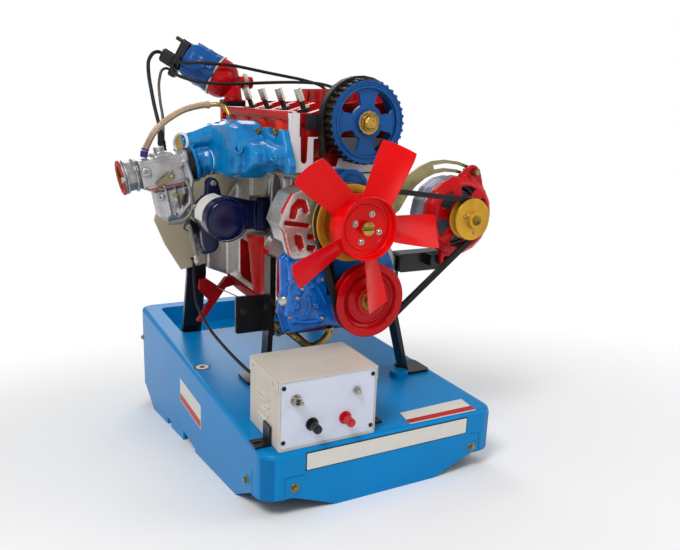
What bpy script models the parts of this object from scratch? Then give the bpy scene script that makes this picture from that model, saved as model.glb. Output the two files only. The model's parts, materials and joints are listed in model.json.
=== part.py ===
"""Cut-away four-cylinder engine on a wedge-shaped stand, with its control box.

Everything on the stand is placed in the deck's own frame: X across, Y back
along the deck, Z square to it, from the deck's front left corner. One empty
tips that frame nose-down and lifts it, so that the skirt's rim stands on Z = 0.
"""
import bmesh
import bpy
import math
from mathutils import Matrix, Vector

MM = 0.001

# Clearances and overruns
GAP = 0.3 * MM
BITE = 0.8 * MM
OVER = 3 * MM
SHOULDER = 1 * MM
FLAT_ANGLE = math.radians(0.2)

# Base shell
BASE_WIDTH = 400 * MM
BASE_LENGTH = 765 * MM
BASE_TILT = math.radians(9.83)
SKIRT_FRONT = 96.2 * MM
SHELL_WALL = 5 * MM
CORNER_RADIUS = 28 * MM
TOP_ROUND = 7 * MM
POCKET_MARGIN = 38 * MM
POCKET_GAP = 35 * MM
POCKET_DEPTH = 46 * MM
POCKET_CORNER = 14 * MM
FRONT_LIFT = 27 * MM
REAR_LIFT = 42 * MM
LIFT_SPREAD = 120 * MM
LIFT_TOP = 45 * MM
NOTCH_RISE = 13 * MM
NOTCH_LONG = 79 * MM
NOTCH_SHORT = 29 * MM
NOTCH_LONG_SHARE = 0.48
NOTCH_SHORT_SHARE = 0.67

# Engine layout
CRANK_X = 214 * MM
CRANK_Z = 172 * MM
BLOCK_FRONT = 178 * MM
FRONT_WALL = 15 * MM
BORE = 66 * MM
BORE_PITCH = 76 * MM
CYLINDERS = 4
REAR_WALL = 18 * MM
STROKE = 72 * MM
ROD_LENGTH = 124 * MM
COMPRESSION_HEIGHT = 30 * MM
CRANK_ANGLE = math.radians(52)
FIRST_BORE = BLOCK_FRONT + FRONT_WALL + BORE / 2
BORES = [FIRST_BORE + BORE_PITCH * i for i in range(CYLINDERS)]
BLOCK_REAR = BORES[-1] + BORE / 2 + REAR_WALL
DECK_HEIGHT = STROKE / 2 + ROD_LENGTH + COMPRESSION_HEIGHT
HEAD_Z = CRANK_Z + DECK_HEIGHT
SKIRT_HALF = 95 * MM
SKIRT_DROP = 45 * MM
SKIRT_RISE = 43 * MM
JACKET_HALF = 76 * MM
JACKET_RISE = 74 * MM
WINDOW_WIDTH = 50 * MM
WINDOW_LOW = 66 * MM
WINDOW_HIGH = 168 * MM
BAY_RADIUS = 71 * MM
BAY_WIDTH = 56 * MM
BAY_WINDOW_WIDTH = 50 * MM
WIDE_WINDOW = 80 * MM
FLARE_TOP = 21 * MM
FLARE_FOOT = 11 * MM
BAY_WINDOW_RISE = 42 * MM
RIB_RADIUS = 5 * MM

# Crankshaft, rods and pistons
MAIN_RADIUS = 20 * MM
PIN_RADIUS = 17 * MM
WEB_THICKNESS = 9 * MM
ROD_BIG_WIDTH = 22 * MM
ROD_THICKNESS = 12 * MM
BIG_END = 25 * MM
SMALL_END = 13 * MM
GUDGEON_RADIUS = 8 * MM
ROD_SHANK = 17 * MM
COUNTERWEIGHT = 54 * MM
FLANGE_RADIUS = 38 * MM
PISTON_GAP = 0.4 * MM
PISTON_HEIGHT = 52 * MM
PISTON_CROWN = 13 * MM
PISTON_SKIRT = 5 * MM
RING_DEPTH = 1.4 * MM
RING_WIDTH = 2.2 * MM
RING_STEP = 6 * MM
RING_COUNT = 2

# Cylinder head and valve gear
HEAD_FRONT = 167 * MM
HEAD_LEFT = 107 * MM
HEAD_RIGHT = 76 * MM
HEAD_HEIGHT = 87 * MM
RAIL_RISE = 41 * MM
RAIL_START = 30 * MM
RAIL_WIDTH = 16 * MM
HEAD_WALL = 12 * MM
VALLEY_FLOOR = 53 * MM
PANEL_MARGIN = 11 * MM
PANEL_DEPTH = 7 * MM
WEB_WALL = 13 * MM
WEB_RISE = 103 * MM
CAM_RISE = 77 * MM
CAM_JOURNAL = 15 * MM
CAM_SHAFT = 10 * MM
LOBE_BASE = 14 * MM
LOBE_NOSE = 6 * MM
LOBE_LIFT = 7 * MM
LOBE_WIDTH = 11 * MM
VALVE_STEP = 13 * MM
VALVE_TIP_X = 74 * MM
EXHAUST_TIP_X = 50 * MM
VALVE_TIP_RISE = 124 * MM
VALVE_FOOT_X = 26 * MM
VALVE_STEM = 3.5 * MM
VALVE_POST = 6.5 * MM
VALVE_POST_LENGTH = 21 * MM
RETAINER_RADIUS = 11 * MM
RETAINER_HEIGHT = 5 * MM
SLEEVE_RADIUS = 7.5 * MM
SLEEVE_LENGTH = 22 * MM
PORT_RADIUS = 13 * MM
PORT_DEPTH = 20 * MM
SLOT_WIDTH = 13 * MM
SLOT_HEIGHT = 66 * MM
SLOT_DEPTH = 22 * MM

# Front end: layers along Y
BELT_Y = 107.5 * MM
SPROCKET_FRONT = 131 * MM
SPROCKET_REAR = 165.6 * MM
TIMING_WIDTH = 14 * MM
TIMING_REAR = 164.8 * MM
TIMING_THICKNESS = 4 * MM
SPROCKET_RADIUS = 63 * MM
SPROCKET_TEETH = 36
TOOTH_HEIGHT = 3 * MM
CRANK_SPROCKET_RADIUS = SPROCKET_RADIUS / 2
TENSIONER_RADIUS = 25 * MM
TENSIONER_DISC = 28 * MM
TENSIONER_FRONT = 119 * MM
TENSIONER_Z = 344 * MM
TENSIONER_PUSH = 2.5 * MM
TENSIONER_STUD = 6 * MM
TENSIONER_PLATE = 4 * MM
V_TOP = 9.6 * MM
V_BOTTOM = 6.2 * MM
V_DEPTH = 8 * MM
GROOVE_GAP = 0.4 * MM
CRANK_PULLEY_RADIUS = 58.7 * MM
PUMP_PULLEY_RADIUS = 57.5 * MM
ALTERNATOR_PULLEY_RADIUS = 34.2 * MM
PULLEY_WIDTH = 18 * MM
PULLEY_RIM = 10 * MM
PULLEY_WEB = 3 * MM
NOSE_RADIUS = 15 * MM

# Water pump and fan
PUMP_X = 176 * MM
PUMP_Z = 295 * MM
PUMP_FRONT = 122 * MM
PUMP_BACK = 148 * MM
PUMP_SHAFT = 8 * MM
PUMP_SNOUT = 18 * MM
PUMP_FACE_STEP = 3 * MM
PUMP_PORT_DEPTH = 8 * MM
FAN_FRONT = 47 * MM
FAN_HUB_RADIUS = 46.5 * MM
FAN_TIP_RADIUS = 127 * MM
FAN_HUB_DEPTH = 34 * MM
FAN_WEB_DEPTH = 13 * MM
FAN_WEB = 4 * MM
FAN_RIM = 3.5 * MM
FAN_SPACER = 30 * MM
FAN_BLADES = 5
FAN_FIRST_ANGLE = math.radians(66.5)
FAN_MIDDLE = 58 * MM
BLADE_THICKNESS = 2.6 * MM
BLADE_ROOT_CHORD = 50 * MM
BLADE_TIP_CHORD = 74 * MM
BLADE_ROOT_PITCH = math.radians(42)
BLADE_TIP_PITCH = math.radians(27)
BLADE_CAMBER = 4 * MM

# Alternator
ALT_X = 400 * MM
ALT_Z = 290 * MM
ALT_RADIUS = 66 * MM
ALT_FRONT = 125 * MM
ALT_CASE_DEPTH = 25 * MM
ALT_STATOR_DEPTH = 20 * MM
ALT_REAR_DEPTH = 32 * MM
ALT_SHAFT = 8 * MM
ALT_WALL = 6 * MM
ALT_NOSE = 4 * MM
ALT_BOSS_LENGTH = 10 * MM
ALT_NUT_LENGTH = 14 * MM
EAR_THICKNESS = 10 * MM
EAR_RADIUS = 12 * MM
EAR_BOLT = 5 * MM
UPPER_EAR_X = 428 * MM
UPPER_EAR_Z = 362 * MM
LOWER_EAR_X = 384 * MM
LOWER_EAR_Z = 216 * MM
ARM_THICKNESS = 5 * MM
ARM_START_X = 281 * MM
ARM_START_Z = 308 * MM
ARM_BULGE = 33 * MM
ARM_WIDE = 26 * MM
ARM_NARROW = 17 * MM

# Oil pan, front cover, rear plate
PAN_DEPTH = 26 * MM
PAN_HALF = 88 * MM
PAN_WALL = 4 * MM
PAN_LENGTH_SHARE = 0.93
COVER_LEFT = 126 * MM
COVER_RIGHT = 84 * MM
COVER_LOW = 59 * MM
COVER_HIGH = 80 * MM
COVER_FRONT = 146 * MM
COVER_PLATE = 11 * MM
COVER_CLEARANCE = 3 * MM
COVER_SEAL = 2 * MM
COVER_BOSS = 6 * MM
PLATE_THICKNESS = 6 * MM
PLATE_LEFT = 234 * MM
PLATE_RIGHT = 140 * MM
PLATE_LOW = 30 * MM
PLATE_HIGH = 205 * MM
PICKUP_RADIUS = 6.5 * MM
STRAINER_RADIUS = 25 * MM
STRAINER_DEPTH = 14 * MM

# Legs
LEG_THICKNESS = 9 * MM
LEG_WIDTH = 26 * MM
FRONT_LEG_Y = 264 * MM
FRONT_RIGHT_LEG_Y = 172 * MM
FOOT_LENGTH = 46 * MM
FOOT_THICKNESS = 5 * MM
REAR_LEG_WIDTH = 38 * MM
REAR_LEG_X = 61 * MM
REAR_LEG_RIGHT_X = BASE_WIDTH - REAR_LEG_X
REAR_LEG_SPLAY = 61 * MM
REAR_LEG_FOOT_Y = BLOCK_REAR + REAR_LEG_SPLAY
FOOT_LEFT_X = 103 * MM
FOOT_RIGHT_X = 344 * MM

# Intake side
MANIFOLD_FRONT = 147 * MM
MANIFOLD_LENGTH = 340 * MM
MANIFOLD_LOW = 323 * MM
MANIFOLD_HEIGHT = 111 * MM
MANIFOLD_FLANGE = 12 * MM
MANIFOLD_RUNNER = 15 * MM
MANIFOLD_LOG = 33 * MM
MANIFOLD_SWELL = 14 * MM
MANIFOLD_EDGE = 4 * MM
CARB_Y = 400 * MM
CARB_Z = 355 * MM
CARB_TILT = math.radians(11)
CARB_FLANGE_X = 20 * MM
CARB_FLANGE_WIDTH = 74 * MM
CARB_FLANGE_HEIGHT = 60 * MM
FLANGE_THICKNESS = 7 * MM
INSULATOR = 9 * MM
BRANCH_RADIUS = 26 * MM
HORN_X = -99 * MM
HORN_RADIUS = 26 * MM
HORN_BORE = 20 * MM
HORN_LENGTH = 28 * MM
CARB_BODY_WIDTH = 62 * MM
CARB_BODY_HEIGHT = 48 * MM
BOWL_DEPTH = 62 * MM
BOWL_LENGTH = 62 * MM
BOWL_WIDTH = 56 * MM
NECK_X = 14 * MM
NECK_Y = 408 * MM
NECK_Z = 389 * MM
NECK_END_X = 66 * MM
NECK_END_Y = 372 * MM
NECK_END_Z = 412 * MM
NECK_RADIUS = 16 * MM
NECK_BORE = 11.5 * MM
ELBOW_RADIUS = 4.5 * MM
CARB_SPINDLE = 3.5 * MM
CARB_SPINDLE_REACH = 8 * MM
CARB_HOSE_RADIUS = 4 * MM
THROTTLE_PLATE = 3 * MM
THROTTLE_REACH = 20 * MM
THROTTLE_DROP = 12 * MM
THROTTLE_HUB = 7 * MM
THROTTLE_TIP = 4 * MM
THROTTLE_PIN = 2.5 * MM

# Oil filter and fuel pump
FILTER_X = 37 * MM
FILTER_Y = 250 * MM
FILTER_Z = 280 * MM
FILTER_RADIUS = 34 * MM
FILTER_LENGTH = 76 * MM
BRACKET_THICKNESS = 18 * MM

# Leads, hose and cables
LEAD_RADIUS = 3 * MM
FUEL_HOSE_RADIUS = 5.5 * MM
THICK_CABLE_RADIUS = 3.4 * MM
THIN_CABLE_RADIUS = 2.6 * MM
BOOT_RADIUS = 7 * MM
BOOT_LENGTH = 36 * MM
CABLE_RUN = 8 * MM
PLUG_AIM = (0.86, 0, 0.5)
BOOT_X = -14 * MM
BOOT_Y = 452 * MM
BOOT_Z = 372 * MM
HOSE_X = -60 * MM
HOSE_Y = 392 * MM
HOSE_Z = 366 * MM

# Free cable between the engine and the control box
SUPPLY_RADIUS = 2.6 * MM
SUPPLY_TOP_X = 50 * MM
SUPPLY_TOP_Z = 162 * MM
SUPPLY_END_Z = 66 * MM
SUPPLY_INSET = 12 * MM
SUPPLY_STRAIGHT = 7 * MM

# Distributor
DIST_X = 128 * MM
DIST_Y = 489 * MM
DIST_Z = 490 * MM
DIST_RADIUS = 37 * MM
CAP_RADIUS = 31 * MM
DIST_LENGTH = 62 * MM
CAP_LENGTH = 34 * MM
DIST_STUB_RADIUS = 12 * MM
DIST_STUB_LENGTH = 50 * MM
DIST_AIM = (-0.75, 0.42, 0.47)

# Control box
BOX_X = 24 * MM
BOX_Y = 8 * MM
BOX_WIDTH = 154 * MM
BOX_DEPTH = 109 * MM
BOX_HEIGHT = 104 * MM
BOX_EDGE = 3 * MM
PANEL_INSET = 3 * MM
PANEL_SET_BACK = 1.2 * MM
PANEL_THICKNESS = 2 * MM
SWITCH_X = 26 * MM
SWITCH_Z = 73 * MM
POST_X = 51 * MM
POST_SPACING = 52 * MM
POST_Z = 33 * MM
LAMP_X = 120 * MM
LAMP_Z = 72 * MM
BUSH_RADIUS = 6.5 * MM
BUSH_BORE = 4.2 * MM
BUSH_LENGTH = 8 * MM
LEVER_BALL = 3.6 * MM
LEVER_LENGTH = 17 * MM
LEVER_ANGLE = math.radians(12)
POST_RADIUS = 6.4 * MM
POST_LENGTH = 18 * MM
POST_STUD = 2 * MM
POST_COLLAR = 4 * MM

# Places worked out from the sizes above
CRANK_Z_CAM = HEAD_Z + CAM_RISE
ARM_BACK = ALT_FRONT + ALT_CASE_DEPTH + GAP + ARM_THICKNESS + 2 * SHOULDER


def tensioner_x():
    # Just inside the line that touches the cam and crank sprockets on the left
    high = Vector((CRANK_X, CRANK_Z_CAM))
    low = Vector((CRANK_X, CRANK_Z))
    run = low - high
    lean = math.asin((SPROCKET_RADIUS - CRANK_SPROCKET_RADIUS) / run.length)
    normal = Vector((-math.cos(lean), -math.sin(lean)))
    offset = SPROCKET_RADIUS - TENSIONER_RADIUS + TENSIONER_PUSH
    share = (TENSIONER_Z - high.y - normal.y * offset) / normal.x
    return high.x + normal.x * offset + share * normal.y * -1


TENSIONER_X = tensioner_x()

# Outlines, as shares of the piece's width and height
PUMP_BODY_X = 71 * MM
PUMP_BODY_Z = 240 * MM
PUMP_BODY_WIDTH = 81 * MM
PUMP_BODY_HEIGHT = 104 * MM
PICKUP_SHARES = [(-0.215, -0.09, -0.3365), (-0.215, -0.085, -0.4), (-0.3, -0.075, -0.49),
                 (-0.41, -0.07, -0.51),
                 (-0.51, -0.06, -0.43), (-0.565, 0.04, -0.38), (-0.575, 0.16, -0.39), (-0.55, 0.3, -0.46),
                 (-0.5, 0.46, -0.54), (-0.43, 0.6, -0.57), (-0.39, 0.76, -0.58)]
PUMP_BODY_SHARES = [(0.3, 0), (0.86, 0.02), (1.0, 0.2), (1.0, 0.82), (0.86, 0.98), (0.5, 1.0),
                    (0.24, 0.92), (0.08, 0.7),
                    (0.0, 0.52), (0.1, 0.4), (0.16, 0.22), (0.22, 0.06)]
PUMP_PORT_SHARES = [[(0.2, 0.6), (0.3, 0.56), (0.36, 0.72), (0.44, 0.74), (0.5, 0.64), (0.58, 0.66),
                    (0.5, 0.84), (0.36, 0.86), (0.24, 0.76)],
                    [(0.1, 0.5), (0.6, 0.44), (0.6, 0.5), (0.12, 0.56)],
                    [(0.3, 0.36), (0.44, 0.34), (0.5, 0.16), (0.42, 0.12), (0.32, 0.24)],
                    [(0.56, 0.36), (0.72, 0.34), (0.7, 0.26), (0.56, 0.28)],
                    [(0.56, 0.2), (0.74, 0.18), (0.7, 0.1), (0.56, 0.12)]]
COVER_SHARES = [(0.06, 0.0), (0.36, 0.04), (0.5, 0.0), (0.72, 0.04), (0.9, 0.12), (1.0, 0.3),
                (1.0, 0.66), (0.92, 0.9), (0.8, 1.0),
                (0.62, 0.96), (0.4, 0.96), (0.26, 0.9), (0.12, 1.0), (0.02, 0.86), (0.03, 0.5), (0.0, 0.24)]
COVER_FORWARD_SHARES = [(0.08, 0.03), (0.36, 0.07), (0.5, 0.03), (0.7, 0.06), (0.86, 0.14), (0.92, 0.3),
                        (0.8, 0.42), (0.62, 0.42),
                        (0.36, 0.42), (0.34, 0.86), (0.26, 0.86), (0.13, 0.95), (0.05, 0.84),
                        (0.06, 0.5), (0.03, 0.25)]
COVER_BOSS_SHARES = [(0.1, 0.78), (0.12, 0.5), (0.09, 0.18), (0.3, 0.16), (0.3, 0.62), (0.8, 0.24)]
SPUR_SHARES = [(-0.3, 0.2), (0.2, 0.3), (0.42, 0.1), (0.85, -0.05), (0.62, 0.3), (0.5, 0.62),
               (0.36, 0.95), (0.0, 1.0), (-0.2, 0.8)]
PAN_OPENING_SHARES = [(0.08, 0.4), (0.5, 0.86)]
PAN_WEB_SHARES = [(0.5, 0.84), (0.4, 0.98), (0.34, 0.97), (0.33, 0.82), (0.42, 0.62), (0.31, 0.32),
                  (0.35, 0.3),
                  (0.48, 0.62), (0.56, 0.82), (0.66, 0.86), (0.66, 0.98), (0.56, 0.98)]
HEAD_PORT_SHARES = [(0.33, 0.1), (0.7, 0.1), (0.74, 0.28), (0.68, 0.48), (0.5, 0.58), (0.33, 0.58)]
REAR_PLATE_SHARES = [(0.13, 0.0), (0.34, 0.06), (0.6, 0.0), (0.86, 0.06), (1.0, 0.3), (0.96, 0.62),
                     (0.86, 0.92), (0.74, 1.0),
                     (0.42, 1.0), (0.3, 0.86), (0.16, 0.74), (0.03, 0.56), (0.0, 0.42), (0.05, 0.22)]
MANIFOLD_FLANGE_SHARES = [(0.009, 0.351), (0.074, 0.342), (0.103, 0.378), (0.159, 0.414),
                          (0.197, 0.369), (0.238, 0.306), (0.429, 0.198), (0.641, 0.072),
    (0.797, 0.018), (0.95, 0.036), (1, 0.198), (1, 0.739), (0.974, 0.91), (0.891, 0.964), (0.747, 0.964), (0.674, 0.937),
    (0.632, 0.982), (0.55, 0.991), (0.524, 0.91), (0.5, 0.883), (0.459, 0.766), (0.394, 0.748), (0.35, 0.766), (0.326, 0.91),
    (0.271, 0.928), (0.247, 0.838), (0.174, 0.802), (0.156, 0.874), (0.126, 0.919), (0.085, 0.91), (0.053, 0.73), (0, 0.468)]
MANIFOLD_LOG_SHARES = [(0.171, 0.441), (0.338, 0.198), (0.474, 0.144), (0.644, 0.135), (0.862, 0.153),
                       (0.95, 0.351), (0.95, 0.739), (0.862, 0.91),
    (0.65, 0.946), (0.559, 0.991), (0.426, 0.991), (0.362, 0.946), (0.309, 0.739), (0.2, 0.694), (0.165, 0.586)]
MANIFOLD_RUNNER_SHARES = [(0.038, 0.459), (0.174, 0.459), (0.568, 0.405), (0.568, 0.676),
                          (0.244, 0.739), (0.156, 0.694), (0.059, 0.676), (0.026, 0.586)]
MANIFOLD_SWELL_SHARES = [(0.309, 0.261), (0.421, 0.18), (0.662, 0.189), (0.709, 0.333), (0.703, 0.739),
                         (0.662, 0.91), (0.45, 0.946), (0.35, 0.892),
    (0.297, 0.694), (0.285, 0.423)]
MANIFOLD_BOSS_SHARES = [(0.31, 0.62, 1.3, 0.33), (0.07, 0.58, 0.6, 0.23)]

# Routes of hoses and cables, in millimetres in the deck's frame
ELBOW_ROUTE = [(78, 366, 420), (79, 367, 440), (76, 376, 452), (66, 388, 456), (54, 396, 455)]
LEAD_1 = [(20, 494, 507), (40, 464, 496), (80, 450, 491), (130, 450, 493), (180, 453, 497), (229, 455, 500),
          (268, 458, 501), (290, 442, 499), (308, 416, 490), (318, 396, 470)]
LEAD_2 = [(36, 488, 524), (60, 466, 526), (90, 460, 525), (120, 460, 524), (188, 462, 515), (230, 466, 510),
          (262, 470, 506), (300, 474, 498), (316, 472, 486), (324, 466, 472)]
FUEL_ROUTE = [(-60, 392, 366), (-56, 392, 382), (-36, 394, 414), (0, 398, 440), (30, 398, 451),
              (51.4, 397, 454.6)]
CABLE_1 = [(-4, 546, 541), (-17, 526, 526), (-22, 506, 503), (-22, 490, 476), (-20, 475, 445), (-16, 460, 412)]
CABLE_2 = [(9, 536, 512), (-1, 512, 500), (-8, 492, 482), (-10, 476, 455), (-9, 466, 432), (-11, 456, 408)]
SUPPLY_ROUTE = [(44, 472, 128), (37, 430, 92), (31, 340, 76), (29, 240, 71), (32, 160, 67)]


DECK = None
MODEL = None
WORK = None
JOINTS = {}
LOOKS = {}


def clear_scene():
    for obj in list(bpy.data.objects):
        bpy.data.objects.remove(obj, do_unlink=True)


def material(name, colour, roughness, metallic=0.0):
    made = bpy.data.materials.new(name)
    made.use_nodes = True
    shader = made.node_tree.nodes["Principled BSDF"]
    shader.inputs["Base Color"].default_value = (*colour, 1.0)
    shader.inputs["Roughness"].default_value = roughness
    shader.inputs["Metallic"].default_value = metallic
    made.diffuse_color = (*colour, 1.0)
    return made


def face_outward(bm):
    bmesh.ops.recalc_face_normals(bm, faces=bm.faces)
    if bm.calc_volume(signed=True) < 0:
        bmesh.ops.reverse_faces(bm, faces=bm.faces)


def from_bmesh(name, bm):
    face_outward(bm)
    mesh = bpy.data.meshes.new(name)
    bm.to_mesh(mesh)
    bm.free()
    obj = bpy.data.objects.new(name, mesh)
    WORK.objects.link(obj)
    return obj


def bake(obj):
    # The evaluated shape replaces the object's mesh and its modifiers
    bpy.context.view_layer.update()
    graph = bpy.context.evaluated_depsgraph_get()
    mesh = bpy.data.meshes.new_from_object(obj.evaluated_get(graph))
    obj.modifiers.clear()
    old = obj.data
    obj.data = mesh
    if old.users == 0:
        bpy.data.meshes.remove(old)
    return obj


def combine(obj, others, operation):
    for other in others:
        step = obj.modifiers.new(operation.title(), "BOOLEAN")
        step.operation = operation
        step.solver = "EXACT"
        step.object = other
    bake(obj)
    for other in others:
        bpy.data.objects.remove(other, do_unlink=True)
    bm = bmesh.new()
    bm.from_mesh(obj.data)
    bmesh.ops.remove_doubles(bm, verts=bm.verts, dist=MM * MM)
    bmesh.ops.dissolve_degenerate(bm, edges=bm.edges, dist=MM * MM)
    bm.to_mesh(obj.data)
    bm.free()
    return obj


def fuse(obj, *others):
    return combine(obj, others, "UNION")


def cut(obj, *others):
    return combine(obj, others, "DIFFERENCE")


def crossing(obj, *others):
    return combine(obj, others, "INTERSECT")


def block(low, high, edge=0.0, steps=1, along="xyz"):
    # A box between two corners, with the edges along the named axes rounded
    low = Vector(low)
    high = Vector(high)
    bm = bmesh.new()
    bmesh.ops.create_cube(bm, size=1.0)
    for vert in bm.verts:
        for axis in range(3):
            middle = (low[axis] + high[axis]) / 2
            vert.co[axis] = middle + vert.co[axis] * (high[axis] - low[axis])
    if edge > 0:
        wanted = ["xyz".index(letter) for letter in along]
        edges = []
        for item in bm.edges:
            run = item.verts[1].co - item.verts[0].co
            axis = max(range(3), key=lambda n: abs(run[n]))
            if axis in wanted:
                edges.append(item)
        bmesh.ops.bevel(bm, geom=edges, offset=edge, segments=steps, profile=0.5, affect="EDGES")
    return from_bmesh("block", bm)


def tub(low, high, corner, steps, rim, rim_steps):
    # A box with upright rounded corners and a rounded top edge
    obj = block(low, high, corner, steps, "z")
    bm = bmesh.new()
    bm.from_mesh(obj.data)
    top = max(vert.co.z for vert in bm.verts)
    edges = [e for e in bm.edges if all(abs(v.co.z - top) < GAP for v in e.verts)]
    bmesh.ops.bevel(bm, geom=edges, offset=rim, segments=rim_steps, profile=0.5, affect="EDGES")
    bm.to_mesh(obj.data)
    bm.free()
    return obj


def aimed(direction):
    return Vector(direction).to_track_quat("Z", "Y").to_matrix().to_4x4()


def rod(start, end, radius, end_radius=None, sides=12, turn=0.0):
    start = Vector(start)
    end = Vector(end)
    bm = bmesh.new()
    bmesh.ops.create_cone(
        bm, cap_ends=True, segments=sides, radius1=radius,
        radius2=radius if end_radius is None else end_radius, depth=(end - start).length)
    place = Matrix.Translation((start + end) / 2) @ aimed(end - start) @ Matrix.Rotation(turn, 4, "Z")
    bm.transform(place)
    return from_bmesh("rod", bm)


def ball(centre, radius, sides=16):
    bm = bmesh.new()
    bmesh.ops.create_uvsphere(bm, u_segments=sides, v_segments=sides // 2, radius=radius)
    bm.transform(Matrix.Translation(Vector(centre)))
    return from_bmesh("ball", bm)


def turned(profile, start, direction, sides=24):
    # The profile runs as (radius, distance along the axis)
    points = list(profile)
    if points[0][0] > 0 or points[-1][0] > 0:
        points.append(points[0])
    bm = bmesh.new()
    verts = [bm.verts.new((radius, 0, along)) for radius, along in points[:-1]]
    last = verts[0] if points[-1] == points[0] else bm.verts.new((points[-1][0], 0, points[-1][1]))
    verts.append(last)
    for first, second in zip(verts, verts[1:]):
        bm.edges.new((first, second))
    mesh = bpy.data.meshes.new("profile")
    bm.to_mesh(mesh)
    bm.free()
    obj = bpy.data.objects.new("turned", mesh)
    WORK.objects.link(obj)
    screw = obj.modifiers.new("Screw", "SCREW")
    screw.axis = "Z"
    screw.steps = sides
    screw.render_steps = sides
    screw.use_merge_vertices = True
    screw.merge_threshold = MM * MM
    bake(obj)
    bm = bmesh.new()
    bm.from_mesh(obj.data)
    bmesh.ops.remove_doubles(bm, verts=bm.verts, dist=MM * MM)
    face_outward(bm)
    bm.transform(Matrix.Translation(Vector(start)) @ aimed(direction))
    bm.to_mesh(obj.data)
    bm.free()
    return obj


def from_curve(curve, place):
    obj = bpy.data.objects.new("curve", curve)
    WORK.objects.link(obj)
    bpy.context.view_layer.update()
    graph = bpy.context.evaluated_depsgraph_get()
    mesh = bpy.data.meshes.new_from_object(obj.evaluated_get(graph))
    bpy.data.objects.remove(obj, do_unlink=True)
    bpy.data.curves.remove(curve)
    bm = bmesh.new()
    bm.from_mesh(mesh)
    bpy.data.meshes.remove(mesh)
    bmesh.ops.remove_doubles(bm, verts=bm.verts, dist=MM * MM)
    bm.transform(place)
    return from_bmesh("shape", bm)


def sheet(outlines, thickness, place, edge=0.0):
    # Flat outlines, the first the rim and the others holes, drawn out square to their plane
    curve = bpy.data.curves.new("outline", "CURVE")
    curve.dimensions = "2D"
    curve.fill_mode = "BOTH"
    curve.extrude = thickness / 2 - edge
    curve.bevel_depth = edge
    curve.bevel_resolution = 0
    curve.offset = -edge
    for points in outlines:
        spline = curve.splines.new("POLY")
        spline.points.add(len(points) - 1)
        for item, point in zip(spline.points, points):
            item.co = (point[0], point[1], 0, 1)
        spline.use_cyclic_u = True
    return from_curve(curve, place)


def slab_xz(outlines, front, back):
    place = Matrix.Translation((0, (front + back) / 2, 0)) @ Matrix.Rotation(math.radians(90), 4, "X")
    return sheet(outlines, back - front, place)


def slab_yz(outlines, left, right, edge=0.0):
    turn = Matrix(((0, 0, 1, (left + right) / 2), (1, 0, 0, 0), (0, 1, 0, 0), (0, 0, 0, 1)))
    return sheet(outlines, right - left, turn, edge)


def slab_xy(outlines, low, high):
    return sheet(outlines, high - low, Matrix.Translation((0, 0, (low + high) / 2)))


def circle(x, z, radius, sides=16, first=0.0):
    step = 2 * math.pi / sides
    return [(x + radius * math.cos(first + step * i), z + radius * math.sin(first + step * i))
            for i in range(sides)]


def arc(x, z, radius, start, end, steps):
    return [(x + radius * math.cos(start + (end - start) * i / steps),
             z + radius * math.sin(start + (end - start) * i / steps)) for i in range(steps + 1)]


def spread(shares, x, z, width, height):
    return [(x + s * width, z + t * height) for s, t in shares]


def link_outline(x0, z0, r0, x1, z1, r1, steps=4):
    # Two round ends joined by their outer tangents
    run = math.atan2(z1 - z0, x1 - x0)
    lean = math.acos(max(-1.0, min(1.0, (r0 - r1) / math.hypot(x1 - x0, z1 - z0))))
    near = arc(x0, z0, r0, run + lean, run + 2 * math.pi - lean, steps)
    far = arc(x1, z1, r1, run - lean, run + lean, steps)
    return near + far


def smooth_route(points, per_run):
    # A smooth curve through the route's own points
    padded = [points[0] * 2 - points[1]] + points + [points[-1] * 2 - points[-2]]
    route = []
    for i in range(1, len(padded) - 2):
        a, b, c, d = padded[i - 1:i + 3]
        for step in range(per_run):
            t = step / per_run
            route.append(0.5 * (2 * b + (c - a) * t + (2 * a - 5 * b + 4 * c - d) * t * t
                                + (3 * b - 3 * c + d - a) * t * t * t))
    route.append(points[-1])
    return route


def pipe(points, radius, per_run=5, resolution=2):
    route = smooth_route([Vector(point) for point in points], per_run)
    curve = bpy.data.curves.new("route", "CURVE")
    curve.dimensions = "3D"
    curve.bevel_depth = radius
    curve.bevel_resolution = resolution
    curve.use_fill_caps = True
    spline = curve.splines.new("POLY")
    spline.points.add(len(route) - 1)
    for item, point in zip(spline.points, route):
        item.co = (*point, 1)
    return from_curve(curve, Matrix.Identity(4))


def finish(obj, name, look, pivot=None):
    obj.name = name
    obj.data.name = name
    for other in list(obj.users_collection):
        other.objects.unlink(obj)
    MODEL.objects.link(obj)
    obj.data.materials.clear()
    obj.data.materials.append(look)
    if pivot is not None:
        obj.data.transform(Matrix.Translation(-Vector(pivot)))
        obj.location = pivot
    # Faces in one plane become one face
    bm = bmesh.new()
    bm.from_mesh(obj.data)
    bmesh.ops.dissolve_limit(bm, angle_limit=FLAT_ANGLE, verts=bm.verts, edges=bm.edges)
    bm.to_mesh(obj.data)
    bm.free()
    obj.data.shade_smooth()
    obj.data.set_sharp_from_angle(angle=math.radians(32))
    obj.parent = DECK
    return obj


def clone(obj, name, shift):
    # A copy that shares the mesh of its original
    twin = bpy.data.objects.new(name, obj.data)
    MODEL.objects.link(twin)
    twin.location = obj.location + Vector(shift)
    twin.parent = DECK
    return twin


def floor_z(y):
    return -SKIRT_FRONT - math.tan(BASE_TILT) * y


def corner_cutter(x, y, lift):
    bm = bmesh.new()
    bmesh.ops.create_cube(bm, size=1.0)
    for vert in bm.verts:
        upper = vert.co.z > 0
        half = LIFT_TOP if upper else LIFT_SPREAD + OVER
        vert.co.x = math.copysign(half, vert.co.x)
        vert.co.y = math.copysign(half, vert.co.y)
        vert.co.z = lift if upper else -OVER
    bm.transform(Matrix.Translation((x, y, floor_z(y))) @ Matrix.Rotation(-BASE_TILT, 4, "X"))
    return from_bmesh("corner", bm)


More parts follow.
